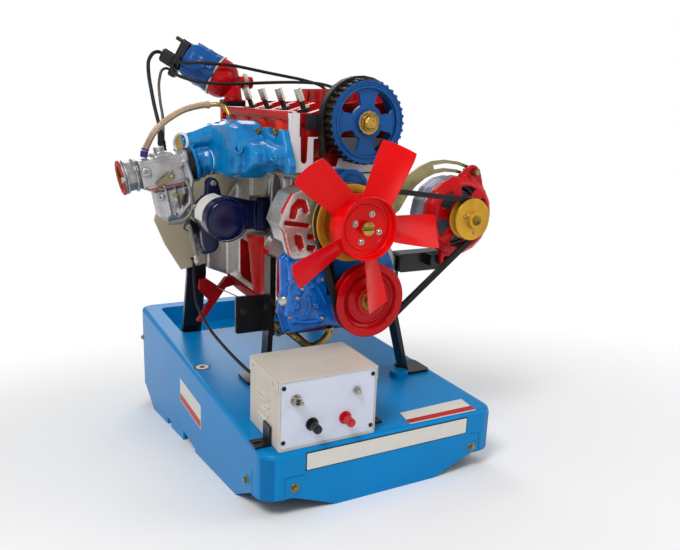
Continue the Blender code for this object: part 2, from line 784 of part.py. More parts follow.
def make_base():
    deepest = floor_z(BASE_LENGTH + OVER)
    outer = tub((0, 0, deepest), (BASE_WIDTH, BASE_LENGTH, 0), CORNER_RADIUS, 4, TOP_ROUND, 2)
    wall = SHELL_WALL
    inner = block((wall, wall, deepest - OVER), (BASE_WIDTH - wall, BASE_LENGTH - wall, -wall),
                  CORNER_RADIUS - wall, 3, "z")
    left = POCKET_MARGIN
    right = BASE_WIDTH - POCKET_MARGIN
    back = BASE_LENGTH - POCKET_MARGIN
    front = BLOCK_REAR + POCKET_GAP
    around = block((left - wall, front - wall, -POCKET_DEPTH - wall), (right + wall, back + wall, 0),
                   POCKET_CORNER + wall, 2, "z")
    hollow = block((left, front, -POCKET_DEPTH), (right, back, OVER), POCKET_CORNER, 2, "z")
    cut(inner, around)
    slope = [(-OVER, floor_z(-OVER)), (BASE_LENGTH + OVER, floor_z(BASE_LENGTH + OVER)),
             (BASE_LENGTH + OVER, deepest - 2 * OVER), (-OVER, deepest - 2 * OVER)]
    ground = slab_yz([slope], -OVER, BASE_WIDTH + OVER)
    cutters = [inner, hollow, ground]
    for x in (0, BASE_WIDTH):
        cutters.append(corner_cutter(x, 0, FRONT_LIFT))
        cutters.append(corner_cutter(x, BASE_LENGTH, REAR_LIFT))
    for share, length in ((NOTCH_LONG_SHARE, NOTCH_LONG), (NOTCH_SHORT_SHARE, NOTCH_SHORT)):
        middle = BASE_LENGTH * share
        top = floor_z(middle) + NOTCH_RISE
        for x in (0, BASE_WIDTH):
            cutters.append(block((x - 2 * wall, middle - length / 2, floor_z(middle + length) - OVER),
                                 (x + 2 * wall, middle + length / 2, top)))
    for item in cutters:
        cut(outer, item)
    finish(outer, "base_shell", LOOKS["base"])


def make_legs():
    # Front left: a bent bar from the block's side to a foot on the deck, with an angle plate
    outer = CRANK_X - SKIRT_HALF - GAP
    top = CRANK_Z + SKIRT_RISE
    knee = CRANK_Z - SKIRT_DROP
    bar = [(outer, top), (outer, knee), (FOOT_LEFT_X + LEG_THICKNESS, FOOT_THICKNESS),
           (FOOT_LEFT_X + LEG_THICKNESS, GAP), (FOOT_LEFT_X, GAP),
           (outer - LEG_THICKNESS, knee), (outer - LEG_THICKNESS, top)]
    leg = slab_xz([bar], FRONT_LEG_Y - LEG_WIDTH / 2, FRONT_LEG_Y + LEG_WIDTH / 2)
    foot = block((FOOT_LEFT_X - FOOT_LENGTH + LEG_THICKNESS, FRONT_LEG_Y - LEG_WIDTH, GAP),
                 (FOOT_LEFT_X + LEG_THICKNESS - BITE, FRONT_LEG_Y + LEG_WIDTH, GAP + FOOT_THICKNESS),
                 LEG_WIDTH / 4, 2, "z")
    tab = block((outer - 2.3 * LEG_WIDTH, FRONT_LEG_Y + LEG_WIDTH / 2 - BITE, knee - 1.8 * LEG_WIDTH),
                (outer - LEG_THICKNESS / 2, FRONT_LEG_Y + LEG_WIDTH / 2 + FOOT_THICKNESS, knee + LEG_WIDTH * 0.66),
                LEG_WIDTH / 8, 2, "y")
    fuse(leg, foot, tab)
    finish(leg, "leg_front_left", LOOKS["black"])

    # Front right: a splayed bar that also carries the alternator's lower ear on a box bracket
    inner = CRANK_X + SKIRT_HALF + GAP
    bar = [(inner, top), (inner, knee), (FOOT_RIGHT_X, FOOT_THICKNESS), (FOOT_RIGHT_X, GAP),
           (FOOT_RIGHT_X + LEG_THICKNESS, GAP), (inner + LEG_THICKNESS, knee), (inner + LEG_THICKNESS, top)]
    y = FRONT_RIGHT_LEG_Y + LEG_WIDTH / 2
    leg = slab_xz([bar], y, y + LEG_WIDTH)
    foot = block((FOOT_RIGHT_X + BITE, y - LEG_WIDTH / 2, GAP),
                 (FOOT_RIGHT_X + FOOT_LENGTH, y + LEG_WIDTH * 3 / 2, GAP + FOOT_THICKNESS), LEG_WIDTH / 4, 2, "z")
    ear = ALT_FRONT + ALT_CASE_DEPTH + GAP
    under = ALT_Z - ALT_RADIUS - GAP
    beam = block((inner + BITE, ear + 2 * LEG_THICKNESS, LOWER_EAR_Z - 2 * EAR_RADIUS),
                 (LOWER_EAR_X + EAR_RADIUS, y + LEG_WIDTH / 2, under), LEG_THICKNESS / 3, 1, "y")
    lug = block((LOWER_EAR_X - 2 * EAR_RADIUS, ear, LOWER_EAR_Z - EAR_RADIUS),
                (LOWER_EAR_X + EAR_RADIUS, ear + 2 * LEG_THICKNESS + BITE, under - BITE))
    fuse(leg, foot, beam, lug)
    finish(leg, "leg_front_right", LOOKS["black"])

    # Rear legs: flat bars from the rear plate down into the deck's pocket
    face = BLOCK_REAR + PLATE_THICKNESS + 2 * GAP
    high = CRANK_Z + SKIRT_RISE / 2
    bend = CRANK_Z - SKIRT_RISE
    bar = [(face, high), (face, bend), (REAR_LEG_FOOT_Y, -POCKET_DEPTH + GAP),
           (REAR_LEG_FOOT_Y + FOOT_LENGTH, -POCKET_DEPTH + GAP),
           (REAR_LEG_FOOT_Y + FOOT_LENGTH, -POCKET_DEPTH + GAP + FOOT_THICKNESS),
           (REAR_LEG_FOOT_Y + LEG_THICKNESS, -POCKET_DEPTH + GAP + FOOT_THICKNESS),
           (face + LEG_THICKNESS, bend), (face + LEG_THICKNESS, high)]
    leg = slab_yz([bar], REAR_LEG_X - REAR_LEG_WIDTH / 2, REAR_LEG_X + REAR_LEG_WIDTH / 2)
    left = finish(leg, "leg_rear_left", LOOKS["black"])
    clone(left, "leg_rear_right", (REAR_LEG_RIGHT_X - REAR_LEG_X, 0, 0))


def make_control_box():
    x0, y0, z0 = BOX_X, BOX_Y, GAP
    x1, y1, z1 = BOX_X + BOX_WIDTH, BOX_Y + BOX_DEPTH, GAP + BOX_HEIGHT
    case = block((x0, y0, z0), (x1, y1, z1), BOX_EDGE, 2, "yz")
    depth = PANEL_SET_BACK + PANEL_THICKNESS + GAP
    cut(case, block((x0 + PANEL_INSET, y0 - OVER, z0 + PANEL_INSET),
                    (x1 - PANEL_INSET, y0 + depth, z1 - PANEL_INSET), BOX_EDGE / 2, 2, "y"))
    for i in range(3):
        z = z0 + BOX_HEIGHT * (0.38 + 0.12 * i)
        louvre = rod((x0 + BOX_EDGE / 3, y0 + BOX_DEPTH * 0.3, z), (x0 + BOX_EDGE / 3, y1 - BOX_DEPTH * 0.3, z),
                     BOX_EDGE, sides=8)
        fuse(case, louvre)
    finish(case, "control_box_case", LOOKS["beige"])

    front = y0 + PANEL_SET_BACK
    back = front + PANEL_THICKNESS
    panel = block((x0 + PANEL_INSET + GAP, front, z0 + PANEL_INSET + GAP),
                  (x1 - PANEL_INSET - GAP, back, z1 - PANEL_INSET - GAP), BOX_EDGE / 2, 2, "y")
    switch = (x0 + SWITCH_X, z0 + SWITCH_Z)
    fuse(panel, rod((switch[0], front + BITE, switch[1]), (switch[0], front - BUSH_LENGTH, switch[1]),
                    BUSH_RADIUS, sides=14))
    fuse(panel, rod((switch[0], front + BITE, switch[1]), (switch[0], front - BUSH_LENGTH / 3, switch[1]),
                    BUSH_RADIUS * 1.3, sides=6))
    cut(panel, rod((switch[0], front, switch[1]), (switch[0], front - BUSH_LENGTH - OVER, switch[1]),
                   BUSH_BORE / math.cos(math.pi / 12), sides=12))
    posts = [x0 + POST_X, x0 + POST_X + POST_SPACING]
    reach = POST_LENGTH * 0.75
    for x in posts:
        z = z0 + POST_Z
        fuse(panel, rod((x, front + BITE, z), (x, front - POST_COLLAR, z), POST_RADIUS * 1.2, sides=10))
        fuse(panel, rod((x, front, z), (x, front - POST_COLLAR - reach, z), POST_STUD, sides=8))
    finish(panel, "control_panel", LOOKS["panel"])

    lamp = turned([(0, 0), (BUSH_RADIUS * 0.9, 0), (BUSH_RADIUS * 0.9, BUSH_LENGTH / 2),
                   (BUSH_RADIUS * 0.6, BUSH_LENGTH / 2), (BUSH_RADIUS * 0.55, BUSH_LENGTH),
                   (0, BUSH_LENGTH * 1.1)], (x0 + LAMP_X, front - GAP, z0 + LAMP_Z), (0, -1, 0), 12)
    finish(lamp, "indicator_lamp", LOOKS["steel"])

    pivot = Vector((switch[0], front - BUSH_LENGTH / 2, switch[1]))
    out = Vector((0, -math.cos(LEVER_ANGLE), math.sin(LEVER_ANGLE)))
    shank = rod(pivot + out * LEVER_BALL / 2, pivot + out * LEVER_LENGTH, LEVER_BALL * 0.42, LEVER_BALL * 0.7, 8)
    lever = fuse(ball(pivot, LEVER_BALL, 8), shank, ball(pivot + out * LEVER_LENGTH, LEVER_BALL * 0.8, 8))
    finish(lever, "toggle_lever", LOOKS["red"], pivot)
    JOINTS["toggle_lever"] = (pivot, (1, 0, 0))

    for x, name, look in ((posts[0], "post_cap_black", "black"), (posts[1], "post_cap_red", "red")):
        start = Vector((x, front - POST_COLLAR - GAP, z0 + POST_Z))
        knurl = []
        for i in range(8):
            for radius, turn in ((POST_RADIUS, 0.0), (POST_RADIUS, 0.5), (POST_RADIUS * 0.88, 0.75)):
                angle = 2 * math.pi * (i + turn) / 8
                knurl.append((x + radius * math.cos(angle), start.z + radius * math.sin(angle)))
        cap = slab_xz([knurl], start.y - POST_LENGTH * 0.9, start.y - POST_LENGTH * 0.15)
        core = turned([(0, 0), (POST_RADIUS * 0.8, 0), (POST_RADIUS * 0.8, POST_LENGTH), (0, POST_LENGTH)],
                      start, (0, -1, 0), 8)
        fuse(cap, core)
        cut(cap, rod(start + Vector((0, OVER, 0)), start - Vector((0, reach + GAP, 0)), POST_STUD + GAP,
                     sides=8))
        finish(cap, name, LOOKS[look], start)
        JOINTS[name] = (start, (0, -1, 0))

    for x, name, side in ((x0, "box_bracket_left", -1), (x1, "box_bracket_right", 1)):
        face = x + side * (GAP + BOX_EDGE / 6)
        reach = BOX_DEPTH * 0.22
        shape = [(face, GAP), (face + side * reach, GAP), (face + side * reach, GAP + BOX_EDGE),
                 (face + side * BOX_EDGE, GAP + BOX_EDGE), (face + side * BOX_EDGE, BOX_HEIGHT * 0.28),
                 (face, BOX_HEIGHT * 0.28)]
        if side < 0:
            shape.reverse()
        y = y0 + BOX_DEPTH * 0.2
        bracket = slab_xz([shape], y, y + BOX_DEPTH * 0.22)
        slot = link_outline(face + side * reach * 0.5, y + BOX_DEPTH * 0.11, BOX_EDGE,
                            face + side * reach * 0.8, y + BOX_DEPTH * 0.11, BOX_EDGE, 6)
        cut(bracket, slab_xy([slot], -OVER, 2 * BOX_EDGE + OVER))
        finish(bracket, name, LOOKS["black"])


def make_block():
    skirt = SKIRT_HALF
    outline = [(-skirt, -SKIRT_DROP), (skirt, -SKIRT_DROP), (skirt, SKIRT_RISE), (JACKET_HALF, JACKET_RISE),
               (JACKET_HALF, DECK_HEIGHT), (-JACKET_HALF, DECK_HEIGHT), (-JACKET_HALF, JACKET_RISE),
               (-skirt, SKIRT_RISE)]
    casting = slab_xz([[(CRANK_X + x, CRANK_Z + z) for x, z in outline]], BLOCK_FRONT, BLOCK_REAR)
    # Ribs and bosses down both sides
    for side in (-1, 1):
        x = CRANK_X + side * JACKET_HALF
        for i in range(CYLINDERS - 1):
            y = BORES[i] + BORE_PITCH / 2
            fuse(casting, rod((x, y, CRANK_Z + JACKET_RISE - OVER), (x, y, HEAD_Z - BITE), RIB_RADIUS, sides=6))
        fuse(casting, block((x - RIB_RADIUS, BLOCK_FRONT + BITE, HEAD_Z - 3 * RIB_RADIUS),
                            (x + RIB_RADIUS, BLOCK_REAR - BITE, HEAD_Z - BITE / 2)))
    # Flared section of the skirt between the crankcase windows
    y = BORES[1] + BORE_PITCH * 0.35
    fuse(casting, rod((CRANK_X - skirt + BITE, y, CRANK_Z - SKIRT_DROP * 0.8),
                      (CRANK_X - skirt + BITE, y, CRANK_Z + SKIRT_RISE * 1.45), FLARE_FOOT, FLARE_TOP, 12))
    fuse(casting, rod((CRANK_X - skirt + BITE, y, CRANK_Z + SKIRT_RISE * 1.45 - BITE),
                      (CRANK_X - skirt + BITE, y, CRANK_Z + SKIRT_RISE * 1.6), FLARE_TOP * 1.06, sides=12))
    # Bell-housing flange at the rear
    flange = [(-skirt * 1.45, -SKIRT_DROP * 0.6), (-skirt, -SKIRT_DROP), (skirt * 1.2, -SKIRT_DROP),
              (skirt * 1.2, SKIRT_RISE), (JACKET_HALF, JACKET_RISE * 1.6), (-JACKET_HALF, JACKET_RISE * 1.9),
              (-skirt * 1.45, SKIRT_RISE)]
    fuse(casting, slab_xz([[(CRANK_X + x, CRANK_Z + z) for x, z in flange]],
                          BLOCK_REAR - REAR_WALL * 0.8, BLOCK_REAR - BITE / 4))
    # Stud that the belt tensioner turns on, and the boss of the alternator's arm
    stud = Vector((TENSIONER_X, BLOCK_FRONT, TENSIONER_Z))
    fuse(casting, rod(stud + Vector((0, OVER, 0)), (stud.x, TENSIONER_FRONT + 3 * TENSIONER_STUD / 2, stud.z),
                      TENSIONER_STUD, sides=12))
    fuse(casting, rod((ARM_START_X, BLOCK_FRONT + OVER, ARM_START_Z),
                      (ARM_START_X, ARM_BACK + GAP, ARM_START_Z), ARM_NARROW * 0.55, sides=12))
    bay = arc(CRANK_X, CRANK_Z, BAY_RADIUS, 0, math.pi, 6)
    bay += [(CRANK_X - BAY_RADIUS, CRANK_Z - SKIRT_DROP - OVER),
            (CRANK_X + BAY_RADIUS, CRANK_Z - SKIRT_DROP - OVER)]
    for y in BORES:
        cut(casting, rod((CRANK_X, y, HEAD_Z + OVER), (CRANK_X, y, CRANK_Z + BAY_RADIUS / 2),
                         BORE / 2 / math.cos(math.pi / 12), sides=12, turn=0.07))
        cut(casting, slab_xz([bay], y - BAY_WIDTH / 2, y + BAY_WIDTH / 2))
    cut(casting, rod((CRANK_X, BLOCK_FRONT - OVER, CRANK_Z), (CRANK_X, BLOCK_REAR + OVER, CRANK_Z),
                     (MAIN_RADIUS + GAP) / math.cos(math.pi / 12), sides=12, turn=0.1))
    # Teaching windows through the left side: two into bores, two into the crankcase
    for y in BORES[:2]:
        window = link_outline(y, CRANK_Z + WINDOW_LOW + WINDOW_WIDTH / 2, WINDOW_WIDTH / 2,
                              y, CRANK_Z + WINDOW_HIGH - WINDOW_WIDTH / 4, WINDOW_WIDTH / 2.4, 3)
        cut(casting, slab_yz([window], CRANK_X - skirt - 2 * OVER, CRANK_X - BORE / 4))
    for y, width in ((BORES[0], BAY_WINDOW_WIDTH), (BORES[2] + BORE_PITCH * 0.16, WIDE_WINDOW)):
        cut(casting, block((CRANK_X - skirt - OVER, y - width / 2, CRANK_Z - SKIRT_DROP * 0.7),
                           (CRANK_X - BAY_RADIUS / 2, y + width / 2, CRANK_Z + BAY_WINDOW_RISE),
                           RIB_RADIUS * 1.4, 1, "x"))
    # Core plugs on the right side
    for y in BORES[::2]:
        x = CRANK_X + JACKET_HALF
        z = HEAD_Z - DECK_HEIGHT * 0.42
        cut(casting, rod((x - RIB_RADIUS / 2, y, z), (x + OVER, y, z), BORE * 0.24, sides=12))
    finish(casting, "engine_block", LOOKS["casting"])


def make_crankshaft():
    half = STROKE / 2
    shaft = rod((CRANK_X, BLOCK_FRONT, CRANK_Z), (CRANK_X, BLOCK_REAR, CRANK_Z), MAIN_RADIUS, sides=10)
    for i, y in enumerate(BORES):
        angle = CRANK_ANGLE + (0 if i in (0, 3) else math.pi)
        pin = (CRANK_X + half * math.sin(angle), CRANK_Z + half * math.cos(angle))
        back = (CRANK_X - half * 0.35 * math.sin(angle), CRANK_Z - half * 0.35 * math.cos(angle))
        gap = ROD_BIG_WIDTH / 2 + GAP
        # The journal is parted between the webs
        cut(shaft, block((CRANK_X - COUNTERWEIGHT, y - gap - BITE, CRANK_Z - COUNTERWEIGHT),
                         (CRANK_X + COUNTERWEIGHT, y + gap + BITE, CRANK_Z + COUNTERWEIGHT)))
        web = link_outline(back[0], back[1], COUNTERWEIGHT - half * 0.35, pin[0], pin[1], PIN_RADIUS * 1.35, 3)
        for start in (y - gap - WEB_THICKNESS, y + gap):
            fuse(shaft, slab_xz([web], start, start + WEB_THICKNESS))
        fuse(shaft, rod((pin[0], y - gap - BITE, pin[1]), (pin[0], y + gap + BITE, pin[1]), PIN_RADIUS,
                        sides=10))
    fuse(shaft, rod((CRANK_X, BLOCK_REAR + PLATE_THICKNESS + 3 * GAP, CRANK_Z),
                    (CRANK_X, BLOCK_REAR + 3 * PLATE_THICKNESS, CRANK_Z), FLANGE_RADIUS, sides=16))
    fuse(shaft, rod((CRANK_X, BLOCK_REAR - OVER, CRANK_Z),
                    (CRANK_X, BLOCK_REAR + PLATE_THICKNESS + OVER, CRANK_Z), MAIN_RADIUS * 0.98, sides=10))
    finish(shaft, "crankshaft", LOOKS["steel"])


def make_pistons():
    half = STROKE / 2
    for i, y in enumerate(BORES):
        angle = CRANK_ANGLE + (0 if i in (0, 3) else math.pi)
        pin = Vector((CRANK_X + half * math.sin(angle), y, CRANK_Z + half * math.cos(angle)))
        drop = math.sqrt(ROD_LENGTH ** 2 - (half * math.sin(angle)) ** 2)
        wrist = Vector((CRANK_X, y, pin.z + drop))
        radius = BORE / 2 - PISTON_GAP
        crown = wrist.z + COMPRESSION_HEIGHT - PISTON_GAP
        profile = [(0, 0), (radius, 0)]
        for ring in range(RING_COUNT):
            at = -RING_STEP * (ring + 0.8)
            profile += [(radius, at), (radius - RING_DEPTH, at), (radius - RING_DEPTH, at - RING_WIDTH),
                        (radius, at - RING_WIDTH)]
        profile += [(radius, -PISTON_HEIGHT), (radius - PISTON_SKIRT, -PISTON_HEIGHT),
                    (radius - PISTON_SKIRT, -PISTON_CROWN), (0, -PISTON_CROWN)]
        piston = turned(profile, (CRANK_X, y, crown), (0, 0, 1), 10)
        reach = radius - PISTON_SKIRT
        fuse(piston, rod((CRANK_X, y - reach, wrist.z), (CRANK_X, y + reach, wrist.z), GUDGEON_RADIUS, sides=8))
        finish(piston, "piston_%d" % (i + 1), LOOKS["aluminium"])
        along = wrist - pin
        # The rod's outline runs from the crank pin up to the gudgeon pin
        lift = math.atan2(along.z, along.x)
        hole = circle(pin.x, pin.z, (PIN_RADIUS + GAP) / math.cos(math.pi / 10), 10, lift)
        rod_body = slab_xz([circle(pin.x, pin.z, BIG_END, 10, lift), hole],
                           y - ROD_BIG_WIDTH / 2, y + ROD_BIG_WIDTH / 2)
        # The shank widens toward both ends and has its two eyes cut clear
        neck = ROD_SHANK / 2
        start = pin + along.normalized() * (PIN_RADIUS + GAP + BITE)
        end = wrist
        side = Vector((-along.z, 0, along.x)).normalized()
        shape = [start + side * neck * 1.3, start + along * 0.2 + side * neck, end + side * neck * 0.7,
                 end - side * neck * 0.7, start + along * 0.2 - side * neck, start - side * neck * 1.3]
        fuse(rod_body, slab_xz([[(v.x, v.z) for v in shape]], y - ROD_THICKNESS / 2, y + ROD_THICKNESS / 2))
        fuse(rod_body, slab_xz([circle(wrist.x, wrist.z, SMALL_END, 10, lift)],
                               y - ROD_THICKNESS * 0.6, y + ROD_THICKNESS * 0.6))
        cut(rod_body, rod((wrist.x, y - BORE, wrist.z), (wrist.x, y + BORE, wrist.z),
                          (GUDGEON_RADIUS + GAP) / math.cos(math.pi / 8), sides=8))
        finish(rod_body, "connecting_rod_%d" % (i + 1), LOOKS["steel"])


def valve_axis(side):
    foot = Vector((CRANK_X + side * VALVE_FOOT_X, 0, HEAD_Z))
    reach = EXHAUST_TIP_X if side > 0 else VALVE_TIP_X
    tip = Vector((CRANK_X + side * reach, 0, HEAD_Z + VALVE_TIP_RISE))
    return tip, (foot - tip).normalized()


def valve_profile():
    post = VALVE_POST_LENGTH
    seat = post + SLEEVE_LENGTH / 2
    under = seat + RETAINER_HEIGHT
    return [(0, 0), (VALVE_POST, 0), (VALVE_POST, post), (VALVE_STEM * 1.3, post), (VALVE_STEM * 1.3, seat),
            (RETAINER_RADIUS, seat), (RETAINER_RADIUS, under), (SLEEVE_RADIUS, under),
            (SLEEVE_RADIUS, under + SLEEVE_LENGTH), (VALVE_STEM, under + SLEEVE_LENGTH),
            (VALVE_STEM, VALVE_TIP_RISE * 0.86), (0, VALVE_TIP_RISE * 0.86)]


def make_head():
    z0 = HEAD_Z + GAP
    z1 = HEAD_Z + HEAD_HEIGHT
    rear = BLOCK_REAR - REAR_WALL / 3
    left = CRANK_X - HEAD_LEFT
    right = CRANK_X + HEAD_RIGHT
    floor = HEAD_Z + VALLEY_FLOOR
    outline = [(left, z0), (right, z0), (right, z1 + RAIL_RISE), (right - RAIL_WIDTH, z1 + RAIL_RISE),
               (right - RAIL_WIDTH, floor), (left + HEAD_WALL, floor), (left + HEAD_WALL, z1), (left, z1)]
    casting = slab_xz([outline], HEAD_FRONT, rear)
    # Cross walls that carry the camshaft, one between each pair of cylinders and one at each end
    top = HEAD_Z + WEB_RISE
    web = [(left + BITE, floor - BITE), (right - BITE, floor - BITE), (right - BITE, z1 + RAIL_RISE - RAIL_WIDTH),
           (CRANK_X + EXHAUST_TIP_X * 0.6, top), (CRANK_X - VALVE_TIP_X * 0.35, top),
           (CRANK_X - VALVE_TIP_X, z1 + BITE), (left + BITE, z1 - BITE)]
    walls = [HEAD_FRONT + WEB_WALL] + [y + BORE_PITCH / 2 for y in BORES[:-1]] + [rear - WEB_WALL]
    for y in walls:
        fuse(casting, slab_xz([web], y - WEB_WALL / 2, y + WEB_WALL / 2))
    # The right rail starts behind the cam sprocket
    cut(casting, block((right - RAIL_WIDTH - OVER, HEAD_FRONT - OVER, z1 + RAIL_RISE / 2),
                       (right + OVER, HEAD_FRONT + RAIL_START, z1 + RAIL_RISE + OVER)))
    # Rim bead along the left wall's top edge
    bead = left + HEAD_WALL / 3
    fuse(casting, rod((bead, HEAD_FRONT + BITE, z1 - BITE), (bead, rear - BITE, z1 - BITE), HEAD_WALL / 3,
                      sides=8))
    # Valve guides stand in the valley floor
    for side in (-1, 1):
        tip, down = valve_axis(side)
        for y in BORES:
            at = tip + Vector((0, y, 0))
            end = at + down * VALVE_TIP_RISE
            reach = VALVE_POST_LENGTH + SLEEVE_LENGTH * 1.5 + RETAINER_HEIGHT + 4 * GAP
            fuse(casting, rod(end, at + down * (reach + BITE), SLEEVE_RADIUS, sides=6))
            if side < 0:
                cut(casting, rod(at + down * (VALVE_TIP_RISE * 0.9), at,
                                 (VALVE_STEM + GAP) / math.cos(math.pi / 6), sides=6))
    cam = CRANK_Z_CAM
    cut(casting, rod((CRANK_X, HEAD_FRONT - OVER, cam), (CRANK_X, rear - WEB_WALL / 2, cam),
                     (CAM_JOURNAL + GAP) / math.cos(math.pi / 12), sides=12, turn=0.1))
    # The recessed panel of the cut left wall
    cut(casting, block((left - OVER, HEAD_FRONT + PANEL_MARGIN, z0 + PANEL_MARGIN),
                       (left + PANEL_DEPTH, rear - PANEL_MARGIN, z1 - PANEL_MARGIN / 1.4), PANEL_MARGIN / 2, 2, "x"))
    # Bare pockets in the cut front face
    slot_x = left + HEAD_WALL + SLOT_WIDTH * 0.6
    slot = link_outline(slot_x, z0 + SLOT_WIDTH * 1.4, SLOT_WIDTH / 2.6,
                        slot_x, z0 + SLOT_HEIGHT, SLOT_WIDTH / 2, 4)
    cut(casting, slab_xz([slot], HEAD_FRONT - OVER, HEAD_FRONT + SLOT_DEPTH / 2))
    port = spread(HEAD_PORT_SHARES, left, z0, HEAD_LEFT, HEAD_HEIGHT)
    cut(casting, slab_xz([port], HEAD_FRONT - OVER, HEAD_FRONT + SLOT_DEPTH / 2))
    # Exhaust ports and plug seats on the right side
    for y in BORES:
        z = z0 + HEAD_HEIGHT * 0.36
        cut(casting, rod((right + OVER, y, z), (right - PORT_DEPTH, y, z + PORT_DEPTH / 4), PORT_RADIUS,
                         PORT_RADIUS * 0.8, sides=10))
    for y in BORES[:2]:
        z = z0 + HEAD_HEIGHT * 0.72
        plug = turned([(0, -OVER), (PORT_RADIUS * 0.8, -OVER), (PORT_RADIUS * 0.8, OVER),
                       (PORT_RADIUS * 0.45, OVER * 1.5), (PORT_RADIUS * 0.4, PORT_DEPTH),
                       (PORT_RADIUS * 0.2, PORT_DEPTH), (PORT_RADIUS * 0.2, PORT_DEPTH * 1.3),
                       (0, PORT_DEPTH * 1.3)], (right, y, z), PLUG_AIM, 6)
        fuse(casting, plug)
    # The exhaust valves stand fixed in the valley's far side
    tip, down = valve_axis(1)
    for y in BORES:
        profile = [(0, 0), (VALVE_POST, 0), (VALVE_POST, VALVE_POST_LENGTH),
                   (VALVE_STEM * 1.3, VALVE_POST_LENGTH), (VALVE_STEM * 1.3, VALVE_TIP_RISE * 0.8),
                   (0, VALVE_TIP_RISE * 0.8)]
        fuse(casting, turned(profile, tip + Vector((0, y, 0)), down, 6))
    finish(casting, "cylinder_head", LOOKS["headred"])

    tip, down = valve_axis(-1)
    first = turned(valve_profile(), tip + Vector((0, BORES[0], 0)), down, 8)
    first = finish(first, "intake_valve_1", LOOKS["chrome"])
    for i in range(1, CYLINDERS):
        clone(first, "intake_valve_%d" % (i + 1), (0, BORE_PITCH * i, 0))


def make_camshaft():
    cam = CRANK_Z_CAM
    rear = BLOCK_REAR - REAR_WALL / 3
    shaft = rod((CRANK_X, SPROCKET_REAR - BITE, cam), (CRANK_X, rear - WEB_WALL / 2 - 2 * GAP, cam), CAM_SHAFT,
                sides=8)
    walls = [HEAD_FRONT + WEB_WALL] + [y + BORE_PITCH / 2 for y in BORES[:-1]] + [rear - WEB_WALL]
    for y in walls:
        back = min(y + WEB_WALL * 0.6, rear - WEB_WALL / 2 - 2 * GAP)
        front = max(y - WEB_WALL * 0.6, SPROCKET_REAR + BITE)
        fuse(shaft, rod((CRANK_X, front, cam), (CRANK_X, back, cam), CAM_JOURNAL, sides=8))
    # Firing order 1-3-4-2: each cylinder's lobes stand a quarter turn after the last one's
    order = {0: 0, 2: 1, 3: 2, 1: 3}
    for i, y in enumerate(BORES):
        for step, lead in ((-VALVE_STEP, math.radians(35)), (VALVE_STEP, math.radians(145))):
            angle = lead + order[i] * math.pi / 2
            reach = LOBE_BASE + LOBE_LIFT - LOBE_NOSE
            lobe = link_outline(CRANK_X, cam, LOBE_BASE, CRANK_X + reach * math.cos(angle),
                                cam + reach * math.sin(angle), LOBE_NOSE, 2)
            fuse(shaft, slab_xz([lobe], y + step - LOBE_WIDTH / 2, y + step + LOBE_WIDTH / 2))
    finish(shaft, "camshaft", LOOKS["steel"], (CRANK_X, SPROCKET_REAR, cam))


def make_cam_sprocket():
    cam = CRANK_Z_CAM
    outline = []
    for i in range(SPROCKET_TEETH):
        for radius, turn in ((SPROCKET_RADIUS - TOOTH_HEIGHT, -0.28), (SPROCKET_RADIUS, -0.17),
                             (SPROCKET_RADIUS, 0.17), (SPROCKET_RADIUS - TOOTH_HEIGHT, 0.28)):
            angle = 2 * math.pi * (i + turn) / SPROCKET_TEETH
            outline.append((CRANK_X + radius * math.cos(angle), cam + radius * math.sin(angle)))
    rim = SPROCKET_RADIUS * 0.86
    hub = SPROCKET_RADIUS * 0.3
    web = SPROCKET_FRONT + TOOTH_HEIGHT
    # A toothed ring, a dished web with four windows, and a hub
    wheel = slab_xz([outline, circle(CRANK_X, cam, rim, 20)], SPROCKET_FRONT, SPROCKET_REAR)
    windows = [circle(CRANK_X, cam, rim + BITE, 20, 0.05)]
    for i in range(4):
        middle = math.radians(45) + i * math.pi / 2
        inner = SPROCKET_RADIUS * 0.4
        outer = SPROCKET_RADIUS * 0.77
        window = arc(CRANK_X, cam, outer, middle - 0.36, middle + 0.36, 3)
        window += arc(CRANK_X, cam, outer - TOOTH_HEIGHT * 2, middle + 0.44, middle + 0.42, 1)[:1]
        window += arc(CRANK_X, cam, inner + TOOTH_HEIGHT / 2, middle + 0.34, middle - 0.34, 2)
        window += arc(CRANK_X, cam, outer - TOOTH_HEIGHT * 2, middle - 0.44, middle - 0.42, 1)[:1]
        windows.append(window)
    fuse(wheel, slab_xz(windows, web, web + 2 * TOOTH_HEIGHT))
    fuse(wheel, rod((CRANK_X, SPROCKET_FRONT - TOOTH_HEIGHT, cam), (CRANK_X, SPROCKET_REAR - BITE, cam),
                    hub * 0.93, sides=12))
    fuse(wheel, rod((CRANK_X, SPROCKET_FRONT - BITE, cam), (CRANK_X, SPROCKET_FRONT - 3 * TOOTH_HEIGHT, cam),
                    hub * 0.62, sides=6))
    finish(wheel, "cam_sprocket", LOOKS["blue"], (CRANK_X, SPROCKET_REAR, cam))
    JOINTS["cam_sprocket"] = (Vector((CRANK_X, SPROCKET_REAR, cam)), (0, 1, 0))


def hull_route(circles, step):
    # The path of a belt round circles given in turn, counter-clockwise, with outward normals
    route = []
    count = len(circles)
    angles = []
    for i in range(count):
        x0, z0, r0 = circles[i]
        x1, z1, r1 = circles[(i + 1) % count]
        run = math.atan2(z1 - z0, x1 - x0)
        lean = math.asin((r0 - r1) / math.hypot(x1 - x0, z1 - z0))
        angles.append(run - math.pi / 2 + lean)
    for i in range(count):
        x, z, r = circles[i]
        start = angles[i - 1]
        end = angles[i]
        while end < start:
            end += 2 * math.pi
        steps = max(2, int((end - start) / step))
        # The chords between the points touch the circle from outside
        reach = r / math.cos((end - start) / steps / 2)
        for n in range(steps + 1):
            angle = start + (end - start) * n / steps
            out = (math.cos(angle), math.sin(angle))
            route.append((x + reach * out[0], z + reach * out[1], out[0], out[1]))
    return route


